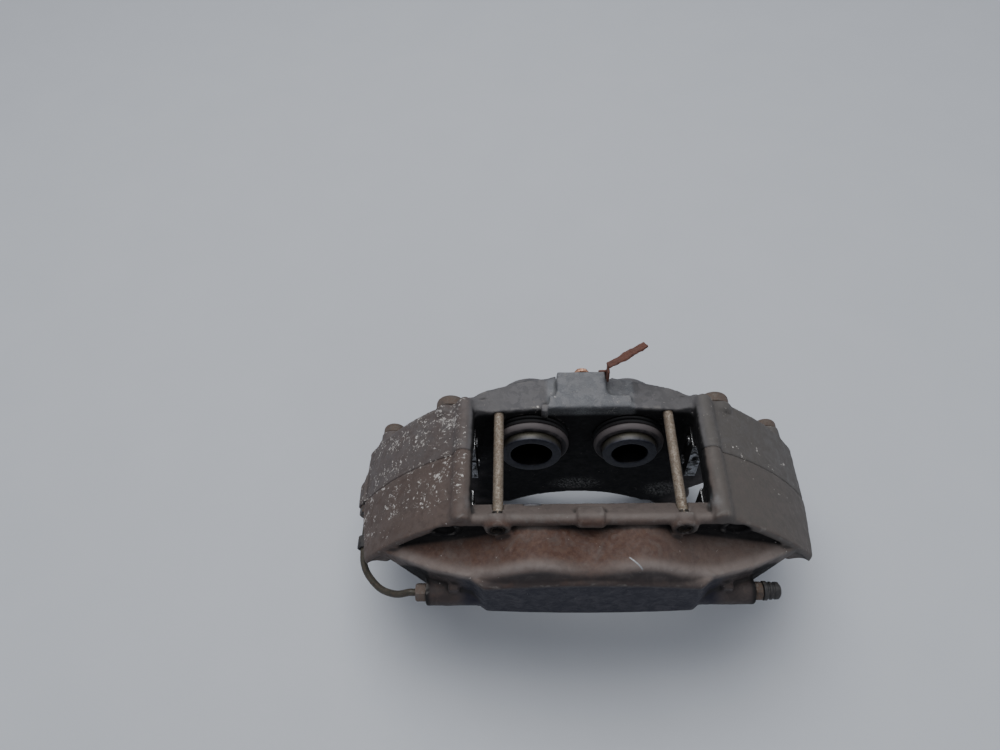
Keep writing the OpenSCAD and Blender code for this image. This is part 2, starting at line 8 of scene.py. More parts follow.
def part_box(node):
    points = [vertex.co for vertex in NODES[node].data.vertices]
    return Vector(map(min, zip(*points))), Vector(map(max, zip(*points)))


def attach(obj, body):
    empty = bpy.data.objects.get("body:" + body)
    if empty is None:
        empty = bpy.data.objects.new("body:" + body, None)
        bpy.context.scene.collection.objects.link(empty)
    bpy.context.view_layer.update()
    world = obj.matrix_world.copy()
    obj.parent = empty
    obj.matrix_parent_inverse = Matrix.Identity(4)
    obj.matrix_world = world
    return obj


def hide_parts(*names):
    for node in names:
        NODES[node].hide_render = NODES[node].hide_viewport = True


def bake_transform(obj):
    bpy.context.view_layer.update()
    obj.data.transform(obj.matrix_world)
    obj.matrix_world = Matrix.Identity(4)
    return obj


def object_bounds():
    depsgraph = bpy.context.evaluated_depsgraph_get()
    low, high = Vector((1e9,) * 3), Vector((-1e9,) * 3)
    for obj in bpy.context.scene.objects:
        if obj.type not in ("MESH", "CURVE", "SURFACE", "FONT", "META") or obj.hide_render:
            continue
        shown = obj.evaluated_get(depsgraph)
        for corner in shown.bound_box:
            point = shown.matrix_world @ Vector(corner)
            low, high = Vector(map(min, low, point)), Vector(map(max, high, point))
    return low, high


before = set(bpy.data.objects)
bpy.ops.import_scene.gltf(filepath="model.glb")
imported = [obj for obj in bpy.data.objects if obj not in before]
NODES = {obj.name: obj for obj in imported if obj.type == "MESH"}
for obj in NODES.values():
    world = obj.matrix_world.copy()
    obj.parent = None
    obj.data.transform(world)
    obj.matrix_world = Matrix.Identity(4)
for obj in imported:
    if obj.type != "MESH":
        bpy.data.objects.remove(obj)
CAD_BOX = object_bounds()

# The drawing frame: millimetres about the disc axis. The part's origin lies at
# (0, 58, 42) in it, midway between the two knuckle bolt holes.
ORIGIN = np.array([0.0, 58.0, 42.0])


def to_part(points):
    return (np.asarray(points, float) - ORIGIN) / 1000


def to_draw(points):
    return np.asarray(points, float) * 1000 + ORIGIN


def corners(node):
    """The two corners of a CAD node's box, in the drawing frame."""
    return [to_draw(corner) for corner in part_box(node)]


def middle(node):
    return sum(corners(node)) / 2


# --- noise and masks in numpy ------------------------------------------------

def smoothstep(lo, hi, v):
    t = np.clip((v - lo) / (hi - lo), 0, 1)
    return t * t * (3 - 2 * t)


def bump_at(v, centre, width):
    return np.exp(-((v - centre) / width) ** 2)


def lattice(ix, iy, iz, seed):
    h = (ix * 374761393 + iy * 668265263 + iz * 2147483647 + seed * 1274126177) & 0xFFFFFFFF
    h = ((h ^ (h >> 13)) * 1103515245) & 0xFFFFFFFF
    return ((h ^ (h >> 16)) & 0xFFFF) / 65535.0 * 2 - 1


def value_noise(p, size, seed):
    """Smooth noise from -1 to 1 with cells of that size, in the points' own unit."""
    q = np.asarray(p, float) / size
    i = np.floor(q).astype(np.int64)
    f = q - i
    f = f * f * (3 - 2 * f)
    total = np.zeros(len(q))
    for dx in (0, 1):
        for dy in (0, 1):
            for dz in (0, 1):
                w = (f[:, 0] if dx else 1 - f[:, 0])
                w = w * (f[:, 1] if dy else 1 - f[:, 1]) * (f[:, 2] if dz else 1 - f[:, 2])
                total += w * lattice(i[:, 0] + dx, i[:, 1] + dy, i[:, 2] + dz, seed)
    return total


def fractal(p, size, seed, octaves=3):
    total = np.zeros(len(p))
    for k in range(octaves):
        total += value_noise(p, size / 2 ** k, seed + 17 * k) / 2 ** k
    return total


# --- mesh helpers ------------------------------------------------------------

def link(name, mesh, smooth_angle=40):
    obj = bpy.data.objects.new(name, mesh)
    bpy.context.scene.collection.objects.link(obj)
    mesh.polygons.foreach_set("use_smooth", [True] * len(mesh.polygons))
    if smooth_angle:
        mesh.set_sharp_from_angle(angle=math.radians(smooth_angle))
    mesh.update()
    return obj


def rounded(points, radius, steps=5, closed=False):
    """The outline with its corners rounded. Radius is one number, or one for each point."""
    pts = [np.array(p, float) for p in points]
    n = len(pts)
    radii = [radius] * n if np.isscalar(radius) else list(radius)
    out = []
    for i in range(n):
        if (not closed and i in (0, n - 1)) or radii[i] <= 0:
            out.append(pts[i])
            continue
        a, b, c = pts[i - 1], pts[i], pts[(i + 1) % n]
        u, v = a - b, c - b
        lu, lv = np.linalg.norm(u), np.linalg.norm(v)
        u, v = u / lu, v / lv
        half = math.acos(max(-1, min(1, float(u @ v)))) / 2
        if half > 1.55 or half < 0.02:
            out.append(b)
            continue
        reach = min(radii[i] / math.tan(half), lu * 0.49, lv * 0.49)
        for k in range(steps + 1):
            t = k / steps
            out.append((1 - t) ** 2 * (b + u * reach) + 2 * t * (1 - t) * b + t * t * (b + v * reach))
    return out


def axes_of(axis):
    z = Vector(axis).normalized()
    x = Vector((0, 0, 1)).cross(z)
    if x.length < 0.1:
        x = Vector((1, 0, 0))
    x.normalize()
    return np.array(x), np.array(z.cross(x)), np.array(z)


def skin(rings, around, closed=False):
    """Faces of a stack of rings, with end faces unless it closes on itself."""
    faces = []
    for i in range(rings if closed else rings - 1):
        j = (i + 1) % rings
        for k in range(around):
            l = (k + 1) % around
            faces.append([i * around + k, i * around + l, j * around + l, j * around + k])
    if not closed:
        for i in (0, rings - 1):
            faces.append([i * around + k for k in range(around)])
    return faces


def turned(name, places, radius, origin, axis, segments, closed, smooth_angle):
    """Rings at those places along an axis through origin. Radius takes a ring's index and an angle."""
    ux, uy, uz = axes_of(axis)
    points = []
    for i, along in enumerate(places):
        for k in range(segments):
            t = 2 * math.pi * k / segments
            out = ux * math.cos(t) + uy * math.sin(t)
            points.append(np.array(origin) + uz * along + out * radius(i, t))
    return finish_mesh(name, points, skin(len(places), segments, closed), smooth_angle)


def lathe(name, profile, origin, axis, segments=96, closed=False, wobble=None):
    """Turns (along, radius) points in mm about an axis through origin."""
    def radius(i, t):
        along, r = profile[i]
        return max(r, 0) + (wobble(along, t, r) if wobble else 0)

    return turned(name, [p[0] for p in profile], radius, origin, axis, segments, closed, 40)


def finish_mesh(name, points, faces, smooth_angle=40):
    mesh = bpy.data.meshes.new(name)
    mesh.from_pydata([tuple(p) for p in to_part(points)], [], faces)
    bm = bmesh.new()
    bm.from_mesh(mesh)
    bmesh.ops.remove_doubles(bm, verts=bm.verts, dist=2e-6)
    bmesh.ops.dissolve_degenerate(bm, edges=bm.edges, dist=1e-7)
    bmesh.ops.recalc_face_normals(bm, faces=bm.faces)
    bm.to_mesh(mesh)
    bm.free()
    return link(name, mesh, smooth_angle)


def ring_radius(sides, across, t):
    """Radius of a regular polygon with that size across its corners, at angle t."""
    step = 2 * math.pi / sides
    phase = (t % step) - step / 2
    return across / 2 * math.cos(step / 2) / math.cos(phase)


def prism_lathe(name, rings, origin, axis, segments=96, closed=False):
    """Stacked rings (along, radius, sides). Sides 0 is round, else a polygon."""
    def radius(i, t):
        r, sides = rings[i][1:]
        return min(ring_radius(sides, 2 * r, t), r * 0.975) if sides else r

    return turned(name, [ring[0] for ring in rings], radius, origin, axis, segments, closed, 30)


def prism(name, outline, lo, hi, along):
    """Closed prism of an outline drawn across axis 0, 1 or 2."""
    points = []
    for level in (lo, hi):
        for a, b in outline:
            p = [a, b]
            p.insert(along, level)
            points.append(p)
    return finish_mesh(name, points, skin(2, len(outline)))


def loft(name, sections):
    points = [p for section in sections for p in section]
    return finish_mesh(name, points, skin(len(sections), len(sections[0])))


def copy_node(name, node):
    mesh = NODES[node].data.copy()
    mesh.name = name
    mesh.materials.clear()
    return link(name, mesh, 40)


def join(name, objs):
    bm = bmesh.new()
    for o in objs:
        bm.from_mesh(o.data)
        bpy.data.objects.remove(o)
    mesh = bpy.data.meshes.new(name)
    bmesh.ops.remove_doubles(bm, verts=bm.verts, dist=1e-7)
    bm.to_mesh(mesh)
    bm.free()
    return link(name, mesh, 0)


def voxel(obj, size):
    """Replaces the mesh by its voxel remesh, which also unites overlapping solids."""
    mod = obj.modifiers.new("remesh", "REMESH")
    mod.mode = "VOXEL"
    mod.voxel_size = size / 1000
    mod.use_smooth_shade = True
    deps = bpy.context.evaluated_depsgraph_get()
    mesh = bpy.data.meshes.new_from_object(obj.evaluated_get(deps))
    obj.modifiers.clear()
    old = obj.data
    obj.data = mesh
    bpy.data.meshes.remove(old)
    mesh.name = obj.name
    return obj


def coords(mesh):
    co = np.empty(len(mesh.vertices) * 3)
    mesh.vertices.foreach_get("co", co)
    return co.reshape(-1, 3)


def normals(mesh):
    no = np.empty(len(mesh.vertices) * 3, np.float32)
    mesh.vertex_normals.foreach_get("vector", no)
    return no.reshape(-1, 3).astype(float)


def move_to(mesh, p):
    """Puts the vertices at those places of the drawing frame."""
    mesh.vertices.foreach_set("co", to_part(p).ravel())
    mesh.update()


def edges_of(mesh):
    e = np.empty(len(mesh.edges) * 2, np.int64)
    mesh.edges.foreach_get("vertices", e)
    return e.reshape(-1, 2)


def relax(values, edges, count, rounds, weight=None):
    """Laplacian smoothing of positions or of any value per vertex, halfway in each round."""
    v = np.array(values, float)
    flat = v.ndim == 1
    if flat:
        v = v[:, None]
    w = 0.5 if weight is None else (0.5 * weight)[:, None]
    for _ in range(rounds):
        total = np.empty_like(v)
        for c in range(v.shape[1]):
            total[:, c] = np.bincount(edges[:, 0], v[edges[:, 1], c], len(v))
            total[:, c] += np.bincount(edges[:, 1], v[edges[:, 0], c], len(v))
        v += (total / count[:, None] - v) * w
    return v[:, 0] if flat else v


def set_attr(mesh, name, values):
    attr = mesh.attributes.new(name, "FLOAT", "POINT")
    attr.data.foreach_set("value", np.asarray(values, np.float32))


# --- materials ---------------------------------------------------------------

class Look:
    """A node material, built with short calls. Colours are linear RGB."""

    def __init__(self, name, specular=0.5):
        self.mat = bpy.data.materials.new(name)
        self.mat.use_nodes = True
        self.tree = self.mat.node_tree
        self.shader = self.tree.nodes["Principled BSDF"]
        self.shader.inputs["Specular IOR Level"].default_value = specular
        self.where = self.node("ShaderNodeTexCoord").outputs["Object"]

    def node(self, kind, **props):
        n = self.tree.nodes.new(kind)
        for key, value in props.items():
            setattr(n, key, value)
        return n

    def feed(self, socket, value):
        if isinstance(value, bpy.types.NodeSocket):
            self.tree.links.new(value, socket)
        elif isinstance(value, tuple) and len(value) == 3:
            socket.default_value = (*value, 1)
        else:
            socket.default_value = value

    def noise(self, size, detail=4, rough=0.55, distortion=0.0, stretch=None, seed=0.0):
        """Noise with features of about that size in mm."""
        n = self.node("ShaderNodeTexNoise", noise_dimensions="3D")
        m = self.node("ShaderNodeMapping")
        self.feed(m.inputs["Vector"], self.where)
        m.inputs["Location"].default_value = (seed * 0.37, seed * 0.11, seed * 0.23)
        m.inputs["Scale"].default_value = stretch or (1, 1, 1)
        self.feed(n.inputs["Vector"], m.outputs["Vector"])
        n.inputs["Scale"].default_value = 1000 / size
        n.inputs["Detail"].default_value = detail
        n.inputs["Roughness"].default_value = rough
        n.inputs["Distortion"].default_value = distortion
        return n.outputs["Fac"]

    def span(self, value, lo, hi, a=0.0, b=1.0):
        """The value's range lo to hi, spread smoothly over a to b."""
        n = self.node("ShaderNodeMapRange", interpolation_type="SMOOTHSTEP")
        self.feed(n.inputs["Value"], value)
        for key, v in (("From Min", lo), ("From Max", hi), ("To Min", a), ("To Max", b)):
            self.feed(n.inputs[key], v)
        return n.outputs["Result"]

    def calc(self, kind, a, b=0.0):
        n = self.node("ShaderNodeMath", operation=kind)
        self.feed(n.inputs[0], a)
        self.feed(n.inputs[1], b)
        return n.outputs[0]

    def mix(self, amount, a, b):
        n = self.node("ShaderNodeMix", data_type="RGBA", blend_type="MIX")
        self.feed(n.inputs["Factor"], amount)
        self.feed(n.inputs[6], a)
        self.feed(n.inputs[7], b)
        return n.outputs[2]

    def attr(self, name):
        return self.node("ShaderNodeAttribute", attribute_name=name).outputs["Fac"]

    def axis(self, index):
        n = self.node("ShaderNodeSeparateXYZ")
        self.feed(n.inputs[0], self.where)
        return n.outputs[index]

    def scratch(self, a, b, half, floor):
        """Mask of a thin line from a to b across X and Y, above the floor height, all in mm."""
        length = math.hypot(b[0] - a[0], b[1] - a[1])
        ux, uy = (b[0] - a[0]) / length, (b[1] - a[1]) / length
        x, y, z = (self.calc("MULTIPLY", self.axis(i), 1000.0) for i in range(3))
        x, y = self.calc("SUBTRACT", x, a[0]), self.calc("SUBTRACT", y, a[1])
        along = self.calc("ADD", self.calc("MULTIPLY", x, ux), self.calc("MULTIPLY", y, uy))
        across = self.calc("SUBTRACT", self.calc("MULTIPLY", x, uy), self.calc("MULTIPLY", y, ux))
        line = self.span(self.calc("ABSOLUTE", across), half, half * 0.4)
        ends = self.calc("MULTIPLY", self.span(along, 0, 1.5), self.span(along, length, length - 1.5))
        return self.calc("MULTIPLY", self.calc("MULTIPLY", line, ends), self.span(z, floor, floor + 1))

    def bump(self, height, depth, after=None):
        """Bump of that depth in mm."""
        n = self.node("ShaderNodeBump")
        n.inputs["Strength"].default_value = 1.0
        n.inputs["Distance"].default_value = depth / 1000
        self.feed(n.inputs["Height"], height)
        if after:
            self.feed(n.inputs["Normal"], after)
        return n.outputs["Normal"]

    def done(self, colour, rough, normal=None, metallic=None):
        self.feed(self.shader.inputs["Base Color"], colour)
        self.feed(self.shader.inputs["Roughness"], rough)
        if normal:
            self.feed(self.shader.inputs["Normal"], normal)
        if metallic is not None:
            self.feed(self.shader.inputs["Metallic"], metallic)
        return self.mat


def casting(name, tones, dust, scratch=None):
    """Old coated aluminium casting: mottled, sooty inside with painted shade in its hollows and under
    overhangs, rusty and chipped where the masks say.
    """
    k = Look(name, specular=0.35)
    broad = k.noise(38, 5, 0.6, 0.4)
    mid = k.noise(7, 6, 0.65, 0.6, seed=2)
    grain = k.noise(0.9, 3, 0.6, seed=3)
    stain = k.noise(16, 7, 0.7, 1.2, seed=4)
    base = k.mix(k.span(broad, 0.35, 0.65), tones[0], tones[1])
    base = k.mix(k.span(mid, 0.45, 0.7, 0, 0.7), base, tones[2])
    base = k.mix(k.span(grain, 0.35, 0.75, 0, 0.25), base, dust)
    pale_tone = k.mix(k.span(mid, 0.44, 0.58), (0.058, 0.060, 0.071), (0.142, 0.141, 0.151))
    base = k.mix(k.calc("MULTIPLY", k.attr("pale"), k.span(stain, 0.3, 0.6, 0.55, 1)), base, pale_tone)
    olive = k.calc("MULTIPLY", k.attr("olive"), k.span(mid, 0.3, 0.6, 0.6, 1))
    base = k.mix(olive, base, (0.090, 0.083, 0.077))
    rusty = k.span(k.noise(3.2, 6, 0.7, seed=5), 0.35, 0.65)
    rust_tone = k.mix(rusty, (0.059, 0.026, 0.018), (0.090, 0.047, 0.032))
    rust = k.calc("MULTIPLY", k.attr("rust"), k.span(stain, 0.32, 0.58, 0.4, 1))
    base = k.mix(rust, base, rust_tone)
    navy = k.calc("MULTIPLY", k.attr("navy"), k.span(mid, 0.2, 0.6, 0.8, 1))
    base = k.mix(navy, base, (0.0095, 0.0092, 0.0200))
    dark = k.calc("MULTIPLY", k.attr("dark"), k.span(mid, 0.25, 0.6, 0.55, 0.95))
    base = k.mix(dark, base, (0.034, 0.027, 0.027))
    # grease and brake dust in the pad window, and painted shade in the hollows, on faces turned down, in the
    # crease under the front rim and in holes
    soot_and_shade = k.calc("MULTIPLY", k.attr("soot_and_shade"), k.span(k.noise(9, 7, 0.75, 1.0, seed=6), 0.70, 0.60, 0.45, 1))
    base = k.mix(soot_and_shade, base, (0.0045, 0.0045, 0.0055))
    grime = k.calc("MULTIPLY", k.attr("grime"), k.span(k.noise(1.6, 6, 0.8, seed=7), 0.45, 0.62))
    base = k.mix(grime, base, (0.165, 0.165, 0.160))
    # brake dust, and a painted highlight where the mesh marks the brow of the shelf's wave ridge
    dust_and_highlight = k.calc("MULTIPLY", k.attr("dust"), k.span(stain, 0.35, 0.6, 0.6, 1))
    base = k.mix(dust_and_highlight, base, (0.190, 0.162, 0.150))
    # painted shade in hollow places, darker the more hollow the place is
    hollow = k.span(k.attr("curv"), 0.15, 0.9, 0, 0.75)
    base = k.mix(hollow, base, (0.012, 0.011, 0.011))
    # bare metal: worn edges and stone chips
    worn = k.calc("MULTIPLY", k.span(k.attr("curv"), -0.25, -0.9), k.span(mid, 0.48, 0.72, 0, 0.55))
    base = k.mix(worn, base, (0.20, 0.19, 0.18))
    spots = k.calc("ADD", k.noise(2.3, 6, 0.66, 0.3, seed=8), k.calc("MULTIPLY", k.attr("chips"), 0.17))
    clusters = k.span(k.noise(11, 3, 0.5, seed=9), 0.36, 0.64, -0.08, 0.045)
    spots = k.calc("ADD", spots, clusters)
    chip = k.span(spots, 0.725, 0.755)
    rim = k.calc("SUBTRACT", k.span(spots, 0.68, 0.74), chip)
    base = k.mix(k.calc("MULTIPLY", rim, 0.5), base, (0.19, 0.17, 0.15))
    base = k.mix(chip, base, k.mix(k.span(grain, 0.4, 0.6), (0.30, 0.28, 0.265), (0.56, 0.54, 0.52)))
    bare = k.attr("bare")
    if scratch:
        bare = k.calc("MAXIMUM", bare, k.scratch(*scratch))
    scored = k.noise(1.2, 5, 0.7, stretch=(1, 6, 1), seed=10)
    base = k.mix(bare, base, k.mix(k.span(scored, 0.35, 0.65), (0.22, 0.235, 0.25), (0.42, 0.44, 0.46)))
    dull = k.calc("MULTIPLY", soot_and_shade, 0.18)
    rough = k.calc("ADD", k.span(mid, 0.3, 0.7, 0.56, 0.74), dull)
    rough = k.calc("SUBTRACT", rough, k.calc("MULTIPLY", navy, 0.05))
    waves = k.noise(2.6, 4, 0.6, seed=11)
    height = k.calc("ADD", k.calc("MULTIPLY", grain, 0.35), k.calc("MULTIPLY", waves, 0.65))
    normal = k.bump(height, 0.34)
    normal = k.bump(k.calc("MULTIPLY", chip, -1.0), 0.12, after=normal)
    return k.done(base, rough, normal, k.calc("MULTIPLY", bare, 0.6))


def corroded(name, bare, rust_a, rust_b, cover, metallic=0.55, size=2.4, depth=0.10, rough=(0.42, 0.78)):
    """Plated or plain steel under patchy rust. Cover says how much is rusty."""
    k = Look(name, specular=0.45)
    patch = k.noise(size, 8, 0.72, 0.8)
    fine = k.noise(size / 5, 4, 0.6, seed=2)
    lo = 0.62 - 0.34 * cover
    mask = k.span(patch, lo, lo + 0.14)
    rust = k.mix(k.span(fine, 0.35, 0.65), rust_a, rust_b)
    cloud = k.span(k.noise(size * 4, 4, 0.6, seed=4), 0.35, 0.65)
    metal = k.mix(cloud, bare, tuple(c * 0.72 for c in bare))
    colour = k.mix(mask, metal, rust)
    stain = k.span(k.noise(size * 6, 5, 0.7, seed=5), 0.52, 0.75, 0, 0.55)
    colour = k.mix(stain, colour, tuple(c * 0.35 for c in rust_a))
    # painted shade where the mesh marks it, such as a pin's ends deep in their holes
    colour = k.mix(k.attr("soot_and_shade"), colour, (0.006, 0.006, 0.007))
    height = k.calc("ADD", k.calc("MULTIPLY", mask, 0.5), k.calc("MULTIPLY", fine, 0.5))
    metal_part = k.span(mask, 0, 1, metallic, 0.05)
    return k.done(colour, k.span(mask, 0, 1, *rough), k.bump(height, depth), metal_part)


def rubber(name, tone, dust, amount, ribs=0.0):
    k = Look(name, specular=0.4)
    cloud = k.noise(6, 6, 0.7, 0.5)
    fine = k.noise(0.7, 3, 0.6, seed=2)
    colour = k.mix(k.span(cloud, 0.42, 0.68, 0, amount), tone, dust)
    colour = k.mix(k.span(fine, 0.5, 0.8, 0, 0.3 * amount), colour, dust)
    if ribs:
        colour = k.mix(k.span(k.attr("crest"), 0.3, 0.9, 0, ribs), colour, dust)
        # painted shade on the boot's folds that lie deep in the bore
        colour = k.mix(k.attr("soot_and_shade"), colour, (0.0045, 0.0045, 0.0055))
    return k.done(colour, k.span(cloud, 0.3, 0.7, 0.5, 0.75), k.bump(fine, 0.05))


def brushed(name, tone, dirt, amount, stretch, metallic=0.9, rough=(0.22, 0.45)):
    """Machined or rolled metal with scratches along one way, dirt in patches, and the dirt colour as painted
    shade where the mesh marks it.
    """
    k = Look(name, specular=0.15)
    lines = k.noise(0.5, 4, 0.6, stretch=stretch)
    cloud = k.noise(5, 6, 0.7, 0.6, seed=2)
    colour = k.mix(k.span(lines, 0.3, 0.7), tone, tuple(c * 0.7 for c in tone))
    mask = k.span(cloud, 0.44, 0.64, 0, amount)
    # painted shade: the dirt colour where the mesh marks a face as lying in shade
    mask = k.calc("MAXIMUM", mask, k.calc("MULTIPLY", k.attr("soot_and_shade"), k.span(cloud, 0.25, 0.45, 0.985, 1)))
    colour = k.mix(mask, colour, dirt)
    metal_part = k.span(mask, 0, 1, metallic, 0.02)
    return k.done(colour, k.span(mask, 0, 1, *rough), k.bump(lines, 0.02), metal_part)


def piston_look(name):
    """Anodised skirt, brass-olive near the pad, blackened face and cup."""
    k = Look(name, specular=0.5)
    rings = k.noise(0.6, 3, 0.5, stretch=(0.2, 4, 0.2))
    cloud = k.noise(5, 6, 0.7, 0.5, seed=2)
    skirt = k.mix(k.span(rings, 0.3, 0.7), (0.150, 0.138, 0.098), (0.088, 0.082, 0.062))
    skirt = k.mix(k.span(cloud, 0.5, 0.72, 0, 0.7), skirt, (0.035, 0.032, 0.030))
    face = k.mix(k.span(cloud, 0.35, 0.65), (0.020, 0.022, 0.034), (0.052, 0.055, 0.072))
    black = k.attr("face")
    colour = k.mix(black, skirt, face)
    colour = k.mix(k.attr("cup"), colour, (0.008, 0.008, 0.011))
    metal_part = k.span(black, 0, 1, 0.65, 0.25)
    return k.done(colour, k.span(cloud, 0.3, 0.7, 0.3, 0.5), k.bump(rings, 0.03), metal_part)


# a bright scratch across the shelf: its two ends, its half width and the height it starts at
SCRATCH = (tuple(1000 * to_part((21.5, -70, 0))[:2]), tuple(1000 * to_part((29.8, -78, 0))[:2]), 0.55, 96)

M = {
    "cast_outer": casting(
        "cast_outer", ((0.082, 0.066, 0.060), (0.105, 0.086, 0.078), (0.058, 0.048, 0.045)),
        (0.135, 0.116, 0.108), SCRATCH),
    "cast_inner": casting(
        "cast_inner", ((0.088, 0.084, 0.084), (0.112, 0.108, 0.110), (0.062, 0.059, 0.060)),
        (0.150, 0.145, 0.145)),
    "stainless": brushed(
        "stainless", (0.62, 0.63, 0.65), (0.010, 0.009, 0.009), 0.97, (8, 8, 1), 0.9, (0.25, 0.85)),
    "piston_alloy": piston_look("piston_alloy"),
    "rubber": rubber("rubber", (0.022, 0.022, 0.024), (0.14, 0.125, 0.11), 0.5),
    "boot_rubber": rubber("boot_rubber", (0.020, 0.018, 0.021), (0.105, 0.092, 0.094), 0.6, 0.8),
}

# Steel parts: the bare metal's colour, the two rust colours, how much is rusty, how metallic,
# then the patch size and bump depth in mm and the roughness where these differ from the usual.
STEELS = {
    "bolt_steel": ((0.12, 0.105, 0.093), (0.088, 0.064, 0.052), (0.132, 0.102, 0.086), 0.72, 0.35),
    "pin_steel": ((0.30, 0.265, 0.22), (0.085, 0.058, 0.040), (0.23, 0.175, 0.125), 0.55, 0.35, 1.5),
    "spring_steel": ((0.030, 0.027, 0.025), (0.024, 0.017, 0.013), (0.044, 0.033, 0.026), 0.5, 0.4),
    "pipe_steel": (
        (0.060, 0.058, 0.046), (0.046, 0.032, 0.025), (0.098, 0.078, 0.058), 0.5, 0.4, 1.8, 0.05),
    "blackened_steel": ((0.045, 0.043, 0.042), (0.10, 0.06, 0.04), (0.14, 0.09, 0.06), 0.45, 0.4),
    "fitting_steel": (
        (0.10, 0.085, 0.075), (0.070, 0.046, 0.034), (0.125, 0.088, 0.064), 0.6, 0.4, 1.6),
    "rusty_sheet": (
        (0.12, 0.055, 0.042), (0.080, 0.030, 0.022), (0.190, 0.085, 0.060), 0.7, 0.15, 2.2, 0.12,
        (0.6, 0.85)),
    "copper_rust": ((0.62, 0.36, 0.25), (0.16, 0.075, 0.045), (0.42, 0.21, 0.13), 0.45, 0.6, 2.0),
}
for slot, look in STEELS.items():
    M[slot] = corroded(slot, *look)


def dress(obj, slot, nodes=()):
    obj.data.materials.clear()
    obj.data.materials.append(M[slot])
    if nodes:
        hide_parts(*nodes)
    return obj


def rest_on(obj, body, slot, nodes=()):
    dress(obj, slot, nodes)
    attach(obj, body)
    return obj


# --- camera, floor and light -------------------------------------------------

def set_camera():
    """The photo's view, for an assumed 27 mm lens.

    Its place and direction were solved from the pad pins, the window's corners and the pistons.
    """
    cam = bpy.data.objects.new("camera", bpy.data.cameras.new("camera"))
    bpy.context.scene.collection.objects.link(cam)
    cam.data.sensor_width = 36
    cam.data.lens = 27
    right = Vector((0.9993, 0.0092, -0.0364))
    up = Vector((0.0147, 0.7952, 0.6061))
    back = Vector((0.0345, -0.6062, 0.7945))
    turn = Matrix((right, up, back)).transposed().to_4x4()
    cam.matrix_world = Matrix.Translation(Vector((-0.03898, -0.31641, 0.54740))) @ turn
    cam.data.clip_start = 0.02
    bpy.context.scene.camera = cam


def set_floor():
    half = 40.0
    gap = 0.0003
    z = float(CAD_BOX[0][2]) - gap
    mesh = bpy.data.meshes.new("floor")
    corner = [(-half, -half, z), (half, -half, z), (half, half, z), (-half, half, z)]
    mesh.from_pydata(corner, [], [(0, 1, 2, 3)])
    floor = link("floor", mesh, 0)
    k = Look("floor", specular=0.3)
    tone = k.mix(k.noise(60, 3, 0.5), (0.52, 0.55, 0.60), (0.55, 0.58, 0.63))
    rough = k.span(k.noise(4, 3), 0.3, 0.7, 0.5, 0.6)
    floor.data.materials.append(k.done(tone, rough, k.bump(k.noise(1.5, 3), 0.05)))


def add_area(name, place, target, size, power, colour=(1, 1, 1)):
    lamp = bpy.data.lights.new(name, "AREA")
    lamp.shape = "RECTANGLE"
    lamp.size, lamp.size_y = size
    lamp.energy = power
    lamp.color = colour
    obj = bpy.data.objects.new(name, lamp)
    bpy.context.scene.collection.objects.link(obj)
    away = Vector(place) - Vector(target)
    obj.matrix_world = Matrix.Translation(place) @ away.to_track_quat("Z", "Y").to_matrix().to_4x4()


def set_light():
    world = bpy.data.worlds.new("studio")
    bpy.context.scene.world = world
    world.use_nodes = True
    world.node_tree.nodes["Background"].inputs["Color"].default_value = (0.90, 0.92, 1.0, 1)
    world.node_tree.nodes["Background"].inputs["Strength"].default_value = 0.30
    centre = (0, 0, 0.06)
    add_area("top", (-0.15, 0.40, 1.55), centre, (1.2, 1.2), 12, (1, 0.99, 0.97))
    add_area("front", (0.6, -1.4, 0.8), centre, (0.9, 0.7), 2.4, (0.94, 0.97, 1))
    sun = bpy.data.lights.new("sky", "SUN")
    sun.energy = 1.0
    sun.angle = math.radians(70)
    sky = bpy.data.objects.new("sky", sun)
    bpy.context.scene.collection.objects.link(sky)
    sky.matrix_world = Vector((-0.12, 0.20, 0.97)).to_track_quat("Z", "Y").to_matrix().to_4x4()


set_camera()
set_floor()
set_light()

# --- housing halves ----------------------------------------------------------

BIG, SMALL = middle("piston_inner_large"), middle("piston_inner_small")
PIN_L, PIN_R = middle("pad_pin_left"), middle("pad_pin_right")
BIG_R, SMALL_R = 21.0, 19.0
CELL = 0.95          # remesh cell of the two halves
BORE_GAP = 0.35      # kept between a remeshed cylinder and its piston
WINDOW_X = 77.0      # half length of the pad window
SHELF_X = 135.4      # half length of the front shelf
NOSE_Y = 82.9        # how far the nose stands outboard of the disc
SPLIT_X = -90.0      # left of this the split line between the halves shows as a fine gap


def crown_top(x):
    """Height of the inner half between its bridges."""
    return 168.8 - x * x / 900


def shelf_top(x):
    """Height of the front shelf, with a swell over each cylinder."""
    base = 152 - x * x / 688
    return base + 10.6 * bump_at(x, BIG[0], 25) + 10.2 * bump_at(x, SMALL[0], 24)


def plan_front(x):
    """How far the shelf's edge stands outboard of the disc."""
    halves = [0, 60, 78, 92, 104, 122, 136]
    return np.interp(np.abs(x), halves, [78.5, 77.5, 75, 70.5, 65.5, 56.5, 49.5])


